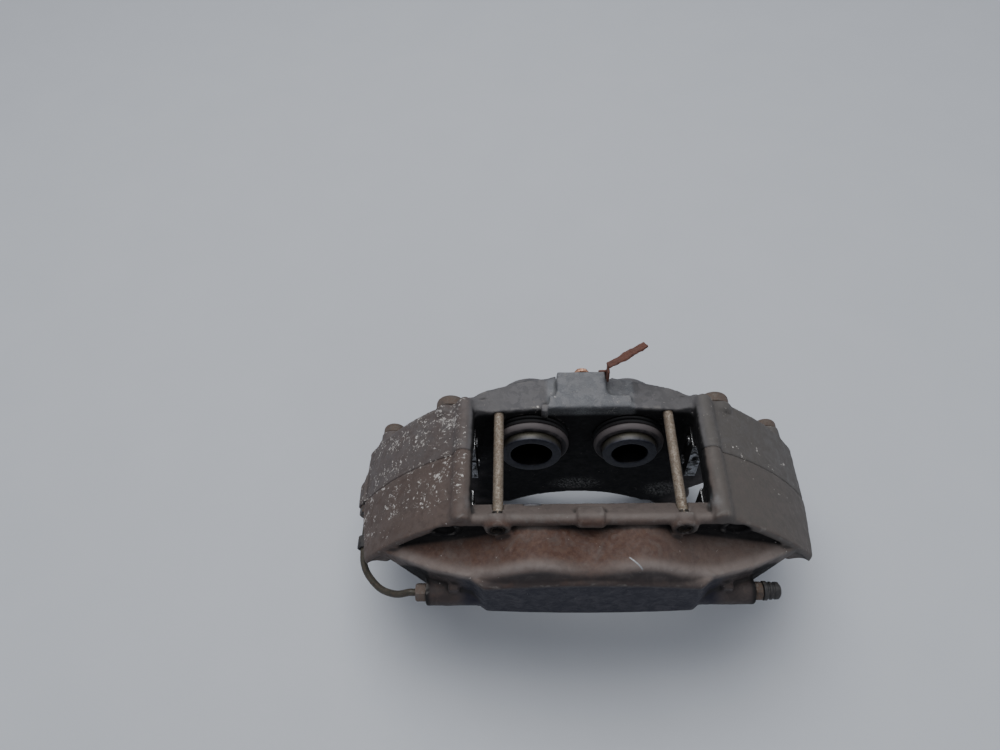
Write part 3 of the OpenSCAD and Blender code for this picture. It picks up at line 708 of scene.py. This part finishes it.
def front_sections():
    """Cross sections of the shelf, its rolled edge and the nose below it."""
    sections = []
    for x in np.linspace(-SHELF_X, SHELF_X, 121):
        ax = abs(x)
        top = float(shelf_top(x))
        edge = float(plan_front(x))
        nose = float(smoothstep(78, 66, ax))
        front = edge + (NOSE_Y - edge) * nose
        brow = (top - 7) * (1 - nose) + (146 - x * x / 900) * nose
        low = float(np.interp(ax, [0, 74, 104, 137], [95, 95, 105, 118]))
        chin = (low + 5) * (1 - nose) + (99 + x * x / 1040) * nose
        mid = (edge + front) / 2
        # (distance outboard of the disc, height)
        outline = [
            (40, top - 1.5), (edge - 13, top), (edge - 4.5, top - 0.2), (edge - 1.6, top - 1.2),
            (edge, top - 3.6), (mid - 0.4, (top - 8) * 0.5 + brow * 0.5), (front - 0.9, brow - 0.6),
            (front, brow - 4), (front, chin + 4), (front - 1.5, chin), (min(60, front - 5), low), (40, low)
        ]
        sections.append([(x, -a, b) for a, b in outline])
    return sections


# round cast marks on the shelf: centre in X and Y, and radius
CAST_MARKS = (
    (0, -57, 3.2), (14.7, -57, 3.2), (-16, -50.5, 2.6), (-37, -52.5, 3.0), (-52, -64, 2.4), (-96, -58, 2.2)
)
# where the coating of the right roof is chipped: centres in X and Y
CHIPS = ((104, -2), (117.5, 13), (142, 16), (100, 6), (128, 2))


def cast_marks(p):
    """Round marks and dents on the shelf, as heights in mm."""
    push = np.zeros(len(p))
    for x, y, r in CAST_MARKS:
        far = np.hypot(p[:, 0] - x, p[:, 1] - y)
        push += 0.55 * (smoothstep(r + 0.5, r - 0.5, far) - 0.8 * smoothstep(r - 0.9, r - 1.7, far))
    return push * smoothstep(120, 140, p[:, 2]) * smoothstep(-50, -53, p[:, 1])


def chip_spots(p):
    """A few places on the right roof where the coating is chipped."""
    spots = np.zeros(len(p))
    for x, y in CHIPS:
        spots += 0.75 * smoothstep(5.5, 2.0, np.hypot(p[:, 0] - x, p[:, 1] - y))
    return spots * (p[:, 2] > 100)


def ridge_foot(p):
    """Where the ridges beside the window run out into the bridges and the crown."""
    ax = np.abs(p[:, 0])
    across = np.maximum(bump_at(ax, 89.5, 5.5), bump_at(ax, 74.5, 3) * (p[:, 1] > 35))
    return 0.9 * across * smoothstep(155, 160, p[:, 2]) * smoothstep(0.4, 3, np.abs(p[:, 1]))


def noise_push(mesh, seed, extra=0.0):
    """Uneven sand-cast skin, in mm."""
    p = to_draw(coords(mesh))
    push = fractal(p, 9, seed, 2) * 0.15 + fractal(p, 2.6, seed + 5, 2) * 0.10
    push *= smoothstep(0.2, 1.2, np.abs(p[:, 1])) * (1 - 0.75 * smoothstep(-80.5, -82, p[:, 1]))
    move_to(mesh, p + normals(mesh) * (push + extra)[:, None])


def clear_bores(mesh):
    """Keeps the remeshed cylinders clear of their pistons."""
    p = to_draw(coords(mesh))
    wall = (np.abs(p[:, 1]) < 66) & (np.abs(normals(mesh)[:, 1]) < 0.6)
    for centre, r in ((BIG, BIG_R), (SMALL, SMALL_R)):
        off = p[:, ::2] - (centre[0], centre[2])
        far = np.hypot(off[:, 0], off[:, 1])
        tight = wall & (far > r - 1.5) & (far < r + BORE_GAP)
        grow = np.where(tight, (r + BORE_GAP) / np.maximum(far, 1), 1.0)
        p[:, ::2] = (centre[0], centre[2]) + off * grow[:, None]
    move_to(mesh, p)


def soften(obj, weight):
    """Rounds the remeshed edges, most where the weight is high, and measures how hollow each place is."""
    mesh = obj.data
    e = edges_of(mesh)
    n = len(mesh.vertices)
    count = np.maximum(np.bincount(e.ravel(), minlength=n), 1)
    p = relax(to_draw(coords(mesh)), e, count, 3)
    p = relax(p, e, count, 36, weight=relax(weight(p), e, count, 10))
    # the split line between the halves stays crisp
    near = np.abs(p[:, 1]) < 1.3
    side = -1.0 if p[:, 1].mean() < 0 else 1.0
    gap = np.where(p[:, 0] < SPLIT_X, 0.05, 0.0)
    p[:, 1] = np.where(near, side * gap + p[:, 1] * 0.08, p[:, 1])
    move_to(mesh, p)
    wide = relax(p, e, count, 14)
    curv = ((wide - p) * normals(mesh)).sum(1) / 0.35
    seam = smoothstep(4, 2, np.abs(p[:, 1])) * (p[:, 0] > SPLIT_X)
    calm = (1 - 0.9 * ridge_foot(p)) * (1 - 0.8 * seam)
    return p, e, count, np.clip(relax(curv, e, count, 2), -1, 1) * calm


def masks(obj, p, e, count, curv, table):
    """Writes the places of rust, soot, painted shade, chips and the like as vertex attributes."""
    n = normals(obj.data)
    x, y, z = p[:, 0], p[:, 1], p[:, 2]
    inward = -n[:, 0] * np.sign(x) * (np.abs(x) > 70) - n[:, 1] * np.sign(y) + 0.4 * (z < 100)
    facing = (np.abs(y) < 37) & (inward > 0.25)
    inside = facing & (np.abs(x) < WINDOW_X + 0.2) & (z < 171) & ((z < 150) | (n[:, 2] < 0.45))
    # below the window the brake dust thins out towards the sides
    thin = smoothstep(102, 68, np.abs(x) + 9 * value_noise(p, 9, 51)) * (z < 100) * facing
    # painted shade on faces turned down
    under = (n[:, 2] < -0.35) & (np.abs(y) < 50) & (z < 168)
    bores = np.hypot(x - BIG[0], z - BIG[2]) < BIG_R + 4
    bores |= np.hypot(x - SMALL[0], z - SMALL[2]) < SMALL_R + 4
    sunk = (n[:, 1] < -0.2) & (y > 30) & (y < 37) & (z > crown_top(x) - 2.2)
    drop = shelf_top(x) - z
    # painted shade in the crease under the front rim and in the pin and bolt holes
    recess = (y < -43) & (z < 159.5)
    front = recess & (y > -49) & (drop < 2) & (np.hypot(x, z) < 181)
    front |= recess & (y > -50.5) & (n[:, 2] < 0.1) & (drop < 1) & (np.abs(x) < WINDOW_X)
    for hole in (PIN_L, PIN_R):
        front |= (np.hypot(x - hole[0], z - hole[2]) < 6.3) & (y < -44) & (y > -56)
    front |= (np.hypot(np.abs(x) - 92.5, z - 150.7) < 8.4) & (y < -41) & (y > -52)
    # painted shadow under the shelf's tips
    tip = (np.abs(x) > 104) & (y < -44) & (drop > 6) & (np.hypot(x, z) < 170)
    inside &= (z > 100) & ~sunk
    soot_and_shade = np.where(inside | under | front | tip | (bores & (np.abs(y) < 44)), 1.0, thin)
    set_attr(obj.data, "soot_and_shade", relax(soot_and_shade, e, count, 4))
    set_attr(obj.data, "curv", curv)
    for name, values in table.items():
        set_attr(obj.data, name, np.clip(relax(np.asarray(values, float), e, count, 5), 0, 1))


def make_outer():
    body = copy_node("outer_copy", "outer_half")
    side = [(-38.6, 158), (-38.6, 165), (-46.2, 168.8), (-50.4, 167), (-52.4, 163), (-50.5, 158)]
    tab = prism("rim_tab", side, -8.4, 8.4, 0)
    obj = join("outer_casting", [body, loft("front_block", front_sections()), tab])
    voxel(obj, CELL)

    def shape_weight(p):
        x, y, z = p.T
        shelf = smoothstep(-47, -52, y) * smoothstep(110, 116, z) * smoothstep(140, 124, np.abs(x)) * 0.07
        corner = smoothstep(138, 147, np.abs(x)) * smoothstep(124, 110, z) * smoothstep(-16, -36, y)
        return np.maximum.reduce([shelf, corner, ridge_foot(p)])

    p, e, count, curv = soften(obj, shape_weight)
    noise_push(obj.data, 3, cast_marks(p))
    clear_bores(obj.data)
    x, y, z = p.T
    radius = np.hypot(x, z)
    roof = smoothstep(172, 180, radius) * smoothstep(76, 80, np.abs(x))
    left = smoothstep(-72, -78, x)
    n = normals(obj.data)
    shelf = smoothstep(-46, -52, y) * smoothstep(0.1, 0.55, n[:, 2])
    drop = shelf_top(x) - z
    edge = plan_front(x)
    brow_z = 146.5 - x * x / 900
    at_edge = smoothstep(edge - 8, edge - 3, -y)
    nose = smoothstep(-0.5, 2.5, brow_z - z) * at_edge * smoothstep(92, 78, np.abs(x))
    band = smoothstep(3.0, 5.5, drop) * at_edge * smoothstep(128, 112, np.abs(x)) * (1 - nose)
    low = 0.8 * smoothstep(-60, -70, y) * smoothstep(104, 98, z)
    # painted highlight along the brow of the shelf's wave ridge, weaker in the middle
    brow = bump_at(drop, 1.6, 2.4) * smoothstep(edge - 9, edge - 3, -y) * smoothstep(134, 120, np.abs(x))
    brow *= 1 - 0.6 * bump_at(x, 0, 15)
    nick = value_noise(p, 2.5, 77) > -0.1
    chipped = bump_at(np.abs(x), WINDOW_X + 0.5, 2.6) * bump_at(y, -38, 5) * bump_at(z, 165, 6)
    rust = shelf * (0.40 + 0.50 * smoothstep(62, 25, x) + 0.10 * bump_at(x, -20, 28)) * (1 - nose)
    rim_dust = 0.35 * smoothstep(-38, -46, y) * (np.abs(x) < 76) * (z > 159) * (y > -48.5)
    chips = roof * left * (0.25 + 0.65 * smoothstep(-44, -26, y)) + 0.12 * roof * (1 - left)
    masks(obj, p, e, count, curv, {
        "rust": np.maximum(rust, 0.30 * roof * left),
        "dark": band,
        "chips": chips + 0.12 * shelf + chip_spots(p),
        "navy": np.maximum(nose, low),
        "olive": roof * (1 - left) * 0.85,
        "grime": 0.4 * ((np.abs(y) < 40) & (np.abs(x) > 74) & (z < 150) & (radius < 168)),
        # brake dust on the front rim, and the painted highlight along the shelf's brow
        "dust": np.maximum(brow, rim_dust),
        "bare": np.where(x > 0, 1.0, 0.35) * chipped * nick,
    })
    return rest_on(obj, "housing", "cast_outer", ["outer_half"])


def fillet(x, y, size, lo, hi, sx, sy):
    """Hollow corner piece between two upright faces that meet at x, y."""
    arc = [(x, y)]
    for k in range(9):
        t = math.pi / 2 * k / 8
        arc.append((x + sx * size * (1 - math.sin(t)), y + sy * size * (1 - math.cos(t))))
    return prism("fillet", arc, lo, hi, 2)


def make_inner():
    body = copy_node("inner_copy", "inner_half")
    extras = [fillet(-17.5, 41.5, 6, 160, 170.8, -1, 1), fillet(15.5, 41.5, 8, 160, 170.8, 1, 1)]
    extras += [fillet(s * 76.3, 34.5, 7, 148, 163.6, -s, -1) for s in (-1, 1)]
    for pin in (PIN_L, PIN_R):
        # the wall over each pin hole is thinner than the remesh can hold
        s = 1 if pin[0] > 0 else -1
        roof = [(pin[0] + a, crown_top(pin[0] + a) + 0.2) for a in (-8, -4, 0, 4, 8)]
        extras.append(prism("cover", [(pin[0] - 8, 155), (pin[0] + 8, 155)] + roof[::-1], 36, 51, 1))
    obj = join("inner_casting", [body] + extras)
    voxel(obj, CELL)

    def shape_weight(p):
        x, y, z = p.T
        crown = smoothstep(52, 56, y) * smoothstep(138, 146, z) * smoothstep(20, 26, np.abs(x))
        return np.maximum(0.5 * crown, ridge_foot(p))

    p, e, count, curv = soften(obj, shape_weight)
    noise_push(obj.data, 21)
    clear_bores(obj.data)
    x, y, z = p.T
    radius = np.hypot(x, z)
    roof = smoothstep(172, 180, radius) * smoothstep(76, 80, np.abs(x))
    left = smoothstep(-72, -78, x)
    block = (x > -24.5) & (x < 35) & (z > 160) & (y < 58.5)
    arch = smoothstep(60, 40, np.abs(x)) * 0.35 + 0.65
    patch = bump_at(x, -1, 20) * bump_at(z, 64, 9) + bump_at(x, 67, 13) * bump_at(z, 53, 12)
    chips = roof * left * 0.85 + 0.16 * roof * (1 - left) + 0.20 * (z > 160)
    chips = chips + 0.5 * bump_at(y, 36, 3.0) * (np.abs(x) < 34) * (z > 158)
    masks(obj, p, e, count, curv, {
        "rust": 0.35 * roof * left + 0.25 * smoothstep(110, 60, z),
        "chips": chips + chip_spots(p),
        "olive": roof * (1 - left) * 0.85,
        "pale": np.where(block, 1.0, 0.55 * arch * (z > 150) * (1 - roof)),
        "grime": smoothstep(0.2, 0.7, patch) * (y < 40),
        "bare": 0.28 * block + 0.3 * bump_at(x, -1, 6) * bump_at(z, 162, 5) * block,
    })
    return rest_on(obj, "housing", "cast_inner", ["inner_half"])


make_outer()
make_inner()

# --- pistons and boots -------------------------------------------------------


def make_piston(side, size):
    """Cup piston. Side is 1 inboard and -1 outboard of the disc."""
    node = f"piston_{'inner' if side > 0 else 'outer'}_{size}"
    lo, hi = corners(node)
    centre = (lo + hi) / 2
    face_y = lo[1] if side > 0 else hi[1]
    r = (hi[0] - lo[0]) / 2
    rim = 6.4
    cup, length = r - rim, hi[1] - lo[1]
    groove = [(6, r), (6, r - 1.3), (8.4, r - 1.3), (8.4, r)]
    outline = [(length - 7, 0), (length - 7, cup), (0, cup), (0, r)] + groove + [(length, r), (length, 0)]
    outline = rounded(outline, [0, 2.5, 1.0, 0.9, 0.2, 0.2, 0.2, 0.2, 1.6, 0], 5)
    obj = lathe(f"{node}_turned", outline, (centre[0], face_y, centre[2]), (0, side, 0), 128)
    p = to_draw(coords(obj.data))
    along = (p[:, 1] - face_y) * side
    rad = np.hypot(p[:, 0] - centre[0], p[:, 2] - centre[2])
    in_cup = (rad < cup + 0.3) & (along > 0.6)
    set_attr(obj.data, "face", smoothstep(1.5, 0.7, along))
    set_attr(obj.data, "cup", in_cup)
    rest_on(obj, node, "piston_alloy", [node])


def smooth_line(points, steps):
    """Catmull-Rom line through the points."""
    pts = [np.array(p, float) for p in points]
    out = []
    for i in range(len(pts) - 1):
        a, b = pts[max(i - 1, 0)], pts[i]
        c, d = pts[i + 1], pts[min(i + 2, len(pts) - 1)]
        square, cube = 2 * a - 5 * b + 4 * c - d, 3 * b - a - 3 * c + d
        for k in range(steps):
            t = k / steps
            out.append(0.5 * (2 * b + (c - a) * t + square * t * t + cube * t ** 3))
    return out + [pts[-1]]


def thick_line(points, half):
    """Closed outline of that half thickness about a line."""
    pts = np.array(points)
    run = np.gradient(pts, axis=0)
    run /= np.linalg.norm(run, axis=1)[:, None]
    side = np.stack([-run[:, 1], run[:, 0]], 1) * half
    return list(pts + side) + list((pts - side)[::-1])


def make_boot(side, size):
    """Dust boot whose bellows run from the housing to the piston's groove."""
    body = f"piston_{'inner' if side > 0 else 'outer'}_{size}"
    node = body.replace("piston", "boot")
    lo, hi = corners(node)
    plo, phi = corners(body)
    centre = (plo + phi) / 2
    r = (phi[0] - plo[0]) / 2
    face = (plo[1] if side > 0 else -phi[1])
    root = (hi[1] if side > 0 else -lo[1])
    lip = face + 7.2
    folds = 4 if root - lip > 9 else 2
    bead = root - 2.0
    pitch = (bead - 1.6 - lip - 1.2) / folds
    line = [(root - 0.4, r + 4.4), (bead, r + 4.5)]
    for i in range(folds):
        at = bead - 1.2 - pitch * i
        line += [(at - pitch * 0.25, r + 1.6), (at - pitch * 0.75, r + 4.9)]
    line += [(lip + 0.3, r + 4.7), (lip - 1.0, r + 3.3), (lip - 1.0, r + 1.6)]
    line += [(lip + 0.1, r - 0.35), (lip + 0.9, r - 0.3)]
    outline = thick_line(smooth_line(line, 6), min(0.6, pitch * 0.22))
    obj = lathe(f"{node}_bellows", outline, (centre[0], 0, centre[2]), (0, side, 0), 112, closed=True)
    p = to_draw(coords(obj.data))
    rad = np.hypot(p[:, 0] - centre[0], p[:, 2] - centre[2])
    set_attr(obj.data, "crest", smoothstep(r + 3.2, r + 4.8, rad))
    # painted shade on the inner boots' folds that lie deep towards the housing
    set_attr(obj.data, "soot_and_shade", smoothstep(lip + 3.2, lip + 5.2, p[:, 1] * side) if side > 0 else 0 * rad)
    dress(obj, "boot_rubber", [node])
    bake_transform(obj)


for side in (1, -1):
    for size in ("large", "small"):
        make_piston(side, size)
        make_boot(side, size)

# --- pins, bolts and plates --------------------------------------------------


def make_pin(node):
    """Pad pin with a worn, pitted surface."""
    lo, hi = corners(node)
    centre, r = (lo + hi) / 2, (hi[0] - lo[0]) / 2
    length = hi[1] - lo[1]
    body = [(a, r) for a in np.linspace(1.2, length - 1.2, 60)]
    steps = [(0, 0), (0, r - 0.2)] + body + [(length, r - 0.2), (length, 0)]
    outline = rounded(steps, [0, 1.0] + [0] * 60 + [1.0, 0], 4)
    rng = np.random.default_rng(5 if node.endswith("left") else 6)
    pits = rng.uniform(-1, 1, (24, 3))

    def worn(a, t, rad):
        if rad < r * 0.9:
            return 0.0
        waves = [math.sin(a * (0.5 + 1.3 * abs(u)) + t * round(v * 4) + w * 6) for u, v, w in pits]
        return min(0.0, 0.22 * sum(waves) / len(pits) - 0.02)

    obj = lathe(f"{node}_turned", outline, (centre[0], lo[1], centre[2]), (0, 1, 0), 48, wobble=worn)
    # painted shade on the pin's ends, which lie deep in their holes
    set_attr(obj.data, "soot_and_shade", smoothstep(42, 47, np.abs(to_draw(coords(obj.data))[:, 1])))
    rest_on(obj, "housing", "pin_steel", [node])


def make_bolts(node, head_r, head_h, shank_r):
    """The two socket head bolts of a node, with rounded heads."""
    lo, hi = corners(node)
    x = (hi[0] - lo[0]) / 2 - head_r
    z = (hi[2] + lo[2]) / 2
    seat = hi[1] - head_h
    tip = lo[1] - seat
    hexagon = shank_r * 0.93
    bend = 3.4
    rings = [(tip, shank_r - 1.2, 0), (tip + 1.2, shank_r, 0), (-0.6, shank_r, 0), (0, shank_r + 0.6, 0)]
    rings += [(0, head_r - 0.5, 0), (0.5, head_r, 0), (head_h - bend, head_r, 0)]
    for k in range(1, 8):
        t = math.pi / 2 * k / 8
        rings.append((head_h - bend + bend * math.sin(t), head_r - bend * (1 - math.cos(t)), 0))
    rings += [(head_h, head_r - 3.6, 0), (head_h, hexagon + 0.7, 0), (head_h - 0.5, hexagon, 6)]
    rings += [(head_h * 0.42, hexagon, 6), (head_h * 0.34, 0.3, 0)]
    for s in (-1, 1):
        tag = "left" if s < 0 else "right"
        obj = prism_lathe(f"{node}_{tag}", rings, (s * x, seat, z), (0, 1, 0), 96)
        rest_on(obj, "housing", "bolt_steel", [node])


def bevelled(name, node, width, body, slot):
    """Copy of a CAD node with its sharp edges rounded."""
    mesh = NODES[node].data.copy()
    mesh.name = name
    mesh.materials.clear()
    bm = bmesh.new()
    bm.from_mesh(mesh)
    bmesh.ops.remove_doubles(bm, verts=bm.verts, dist=2e-6)
    bmesh.ops.dissolve_limit(bm, angle_limit=math.radians(2), verts=bm.verts, edges=bm.edges)
    sharp = [e for e in bm.edges if len(e.link_faces) == 2 and e.calc_face_angle(0) > math.radians(38)]
    bmesh.ops.bevel(
        bm, geom=sharp, offset=width / 1000, segments=2, profile=0.6, affect="EDGES",
        clamp_overlap=True)
    bmesh.ops.recalc_face_normals(bm, faces=bm.faces)
    bm.to_mesh(mesh)
    bm.free()
    return rest_on(link(name, mesh, 35), body, slot, [node])


make_pin("pad_pin_left")
make_pin("pad_pin_right")
make_bolts("bridge_bolts_large", 10.4, 9, 6)
make_bolts("bridge_bolts_small", 8.2, 8, 5)
for place in ("outer_left", "outer_right", "inner_left", "inner_right"):
    plate = bevelled(f"plate_{place}", f"wear_plate_{place}", 0.22, "housing", "stainless")
    # painted shade on the plates' broad faces, which face across the window
    plate_face_shade = np.zeros(len(plate.data.vertices))
    for face in plate.data.polygons:
        if abs(face.normal.x) > 0.98:
            plate_face_shade[list(face.vertices)] = 1.0
    set_attr(plate.data, "soot_and_shade", plate_face_shade)
bevelled("plate_screw_set", "plate_screws", 0.35, "housing", "stainless")
bevelled("pin_sleeve_pair", "pin_sleeves", 0.25, "housing", "spring_steel")

# --- pipe and fittings -------------------------------------------------------

PIPE = [
    (-96, -73, 111.5), (-105, -73, 111.5), (-114, -73, 111.5), (-118, -73, 111.5), (-127, -72.5, 107),
    (-137, -68, 102), (-144, -62, 99), (-151, -53, 95.5), (-155, -44, 93), (-156.5, -35, 91.5),
    (-157, -25, 91), (-157, -14, 91), (-157, -4, 91), (-157, 8, 91)
]
PIPE_R = 2.38
HEX_R = 6.35         # half an 11 mm hexagon's size across its corners


def tube(name, points, r):
    """Round tube along a line, with the ring carried along so that it doesn't twist."""
    segments = 24
    pts = np.array(points)
    run = np.gradient(pts, axis=0)
    run /= np.linalg.norm(run, axis=1)[:, None]
    side = np.cross(run[0], (0, 0, 1.0))
    verts = []
    for p, d in zip(pts, run):
        side = side - d * (side @ d)
        side /= np.linalg.norm(side)
        up = np.cross(side, d)
        for k in range(segments):
            t = 2 * math.pi * k / segments
            verts.append(p + r * (math.cos(t) * side + math.sin(t) * up))
    return finish_mesh(name, verts, skin(len(pts), segments))


def threads(lo, hi):
    """Rings of an M10 thread."""
    r, pitch, depth = 4.95, 1.0, 0.5
    rings = []
    for k in range(int((hi - lo) / pitch)):
        rings += [(lo + pitch * k, r - depth, 0), (lo + pitch * (k + 0.5), r, 0)]
    return rings


def make_nut(node, origin, axis, slot):
    """Tube nut of the pipe, its thread pointing back along the axis."""
    rings = [(-11, 4.1, 0)] + threads(-10.6, -1)
    rings += [(-0.6, 4.5, 0), (0, 4.5, 0), (0.02, 5.5, 0), (0.5, HEX_R, 6), (6.0, HEX_R, 6), (6.9, 5.3, 0)]
    rings += [(7, 3.2, 0), (6.6, PIPE_R + 0.12, 0), (-11, PIPE_R + 0.12, 0)]
    obj = prism_lathe(f"{node}_turned", rings, origin, axis, 72, closed=True)
    rest_on(obj, "housing", slot, [node])


pipe = tube("crossover_pipe_bent", smooth_line(PIPE, 10), PIPE_R)
rest_on(pipe, "housing", "pipe_steel", ["crossover_pipe"])
nut_hi = to_draw(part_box("tube_nut_outer")[0])
make_nut("tube_nut_outer", (nut_hi[0] + 7, PIPE[0][1], PIPE[0][2]), (-1, 0, 0), "bolt_steel")
make_nut("tube_nut_inner", (PIPE[-1][0], 0, PIPE[-1][2]), (0, -1, 0), "blackened_steel")
lo, hi = corners("pipe_sleeve")
sleeve = rounded([(0, 2.8), (0, 4.4), (hi[1] - lo[1], 4.4), (hi[1] - lo[1], 2.8)], 0.5, 4, closed=True)
foot = ((lo[0] + hi[0]) / 2, lo[1], (lo[2] + hi[2]) / 2)
obj = lathe("pipe_sleeve_moulded", sleeve, foot, (0, 1, 0), 48, closed=True)
rest_on(obj, "housing", "rubber", ["pipe_sleeve"])


def make_bleeder(side):
    """Bleed screw and its cap, both along +X."""
    lo, hi = corners(f"bleed_cap_{side}")
    origin = (lo[0] - 5.6, (lo[1] + hi[1]) / 2, (lo[2] + hi[2]) / 2)
    rings = [(-12, 0.7, 0), (-11.6, 1.3, 0), (-8.6, 4.1, 0)] + threads(-8.2, -0.8)
    rings += [(-0.4, 4.5, 0), (0.2, 4.5, 0), (0.22, 5.4, 0), (0.7, HEX_R, 6), (4.6, HEX_R, 6), (5.2, 5.3, 0)]
    rings += [(5.25, 3.6, 0), (5.6, 3.4, 0), (10, 3.4, 0), (10.6, 4.05, 0), (11.4, 4.1, 0), (12.9, 3.3, 0)]
    rings += [(13, 3.0, 0), (13, 1.0, 0), (-6, 0.9, 0)]
    screw = prism_lathe(f"bleed_screw_{side}_turned", rings, origin, (1, 0, 0), 72)
    rest_on(screw, f"bleeder_{side}", "fitting_steel", [f"bleed_screw_{side}"])
    cap = [
        (5.6, 4.5), (5.6, 6.2), (8.0, 6.2), (8.2, 5.3), (9.4, 5.2), (9.7, 5.7), (11.2, 5.7), (11.5, 5.1),
        (12.6, 5.1), (12.9, 5.6), (14.2, 5.6), (15.6, 5.4), (17, 3.6), (17, 0)
    ]
    inner = [(13.6, 0), (13.6, 4.1), (12.4, 4.5)]
    outline = rounded(inner + cap, 0.35, 3)
    obj = lathe(f"bleed_cap_{side}_moulded", outline, origin, (1, 0, 0), 64)
    rest_on(obj, f"cap_{side}", "rubber", [f"bleed_cap_{side}"])


make_bleeder("outer")
make_bleeder("inner")
bevelled("gallery_plug_turned", "gallery_plugs", 0.4, "housing", "fitting_steel")

# --- bracket -----------------------------------------------------------------


def make_bracket():
    """Sheet bracket with its flag eaten by rust."""
    obj = copy_node("hose_bracket_sheet", "hose_bracket")
    voxel(obj, 0.42)
    mesh = obj.data
    e = edges_of(mesh)
    count = np.maximum(np.bincount(e.ravel(), minlength=len(mesh.vertices)), 1)
    p = relax(to_draw(coords(mesh)), e, count, 2)
    flag = smoothstep(18, 21, p[:, 0])
    ragged = np.stack([fractal(p, 4.0, s, 3) for s in (51, 52, 53)], 1)
    p = p + ragged * (0.10 + 0.55 * flag)[:, None]
    move_to(mesh, p)
    rest_on(obj, "housing", "rusty_sheet", ["hose_bracket"])


def make_bracket_screw():
    lo, hi = corners("bracket_screw")
    x, z = (lo[0] + hi[0]) / 2, (lo[2] + hi[2]) / 2
    length = hi[1] - lo[1]
    head = length - 4.2
    rings = [(0, 2.2, 0), (0.8, 3, 0), (head - 0.2, 3, 0), (head, 6.4, 0), (head + 0.2, 6.6, 0)]
    rings += [(head + 1.1, 6.6, 0), (head + 1.2, 6.2, 0), (head + 1.25, 5.75, 6), (length - 0.7, 5.8, 6)]
    rings += [(length - 0.1, 4.7, 0), (length, 4.4, 0), (length - 0.3, 3.4, 0)]
    obj = prism_lathe("bracket_screw_turned", rings, (x, lo[1], z), (0, 1, 0), 72)
    rest_on(obj, "housing", "copper_rust", ["bracket_screw"])


make_bracket()
make_bracket_screw()

# the seals lie unseen in their grooves and keep their CAD shape
for side in ("outer", "inner"):
    for size in ("large", "small"):
        seal = NODES[f"seal_{side}_{size}"]
        seal.data.materials.clear()
        seal.data.materials.append(M["rubber"])
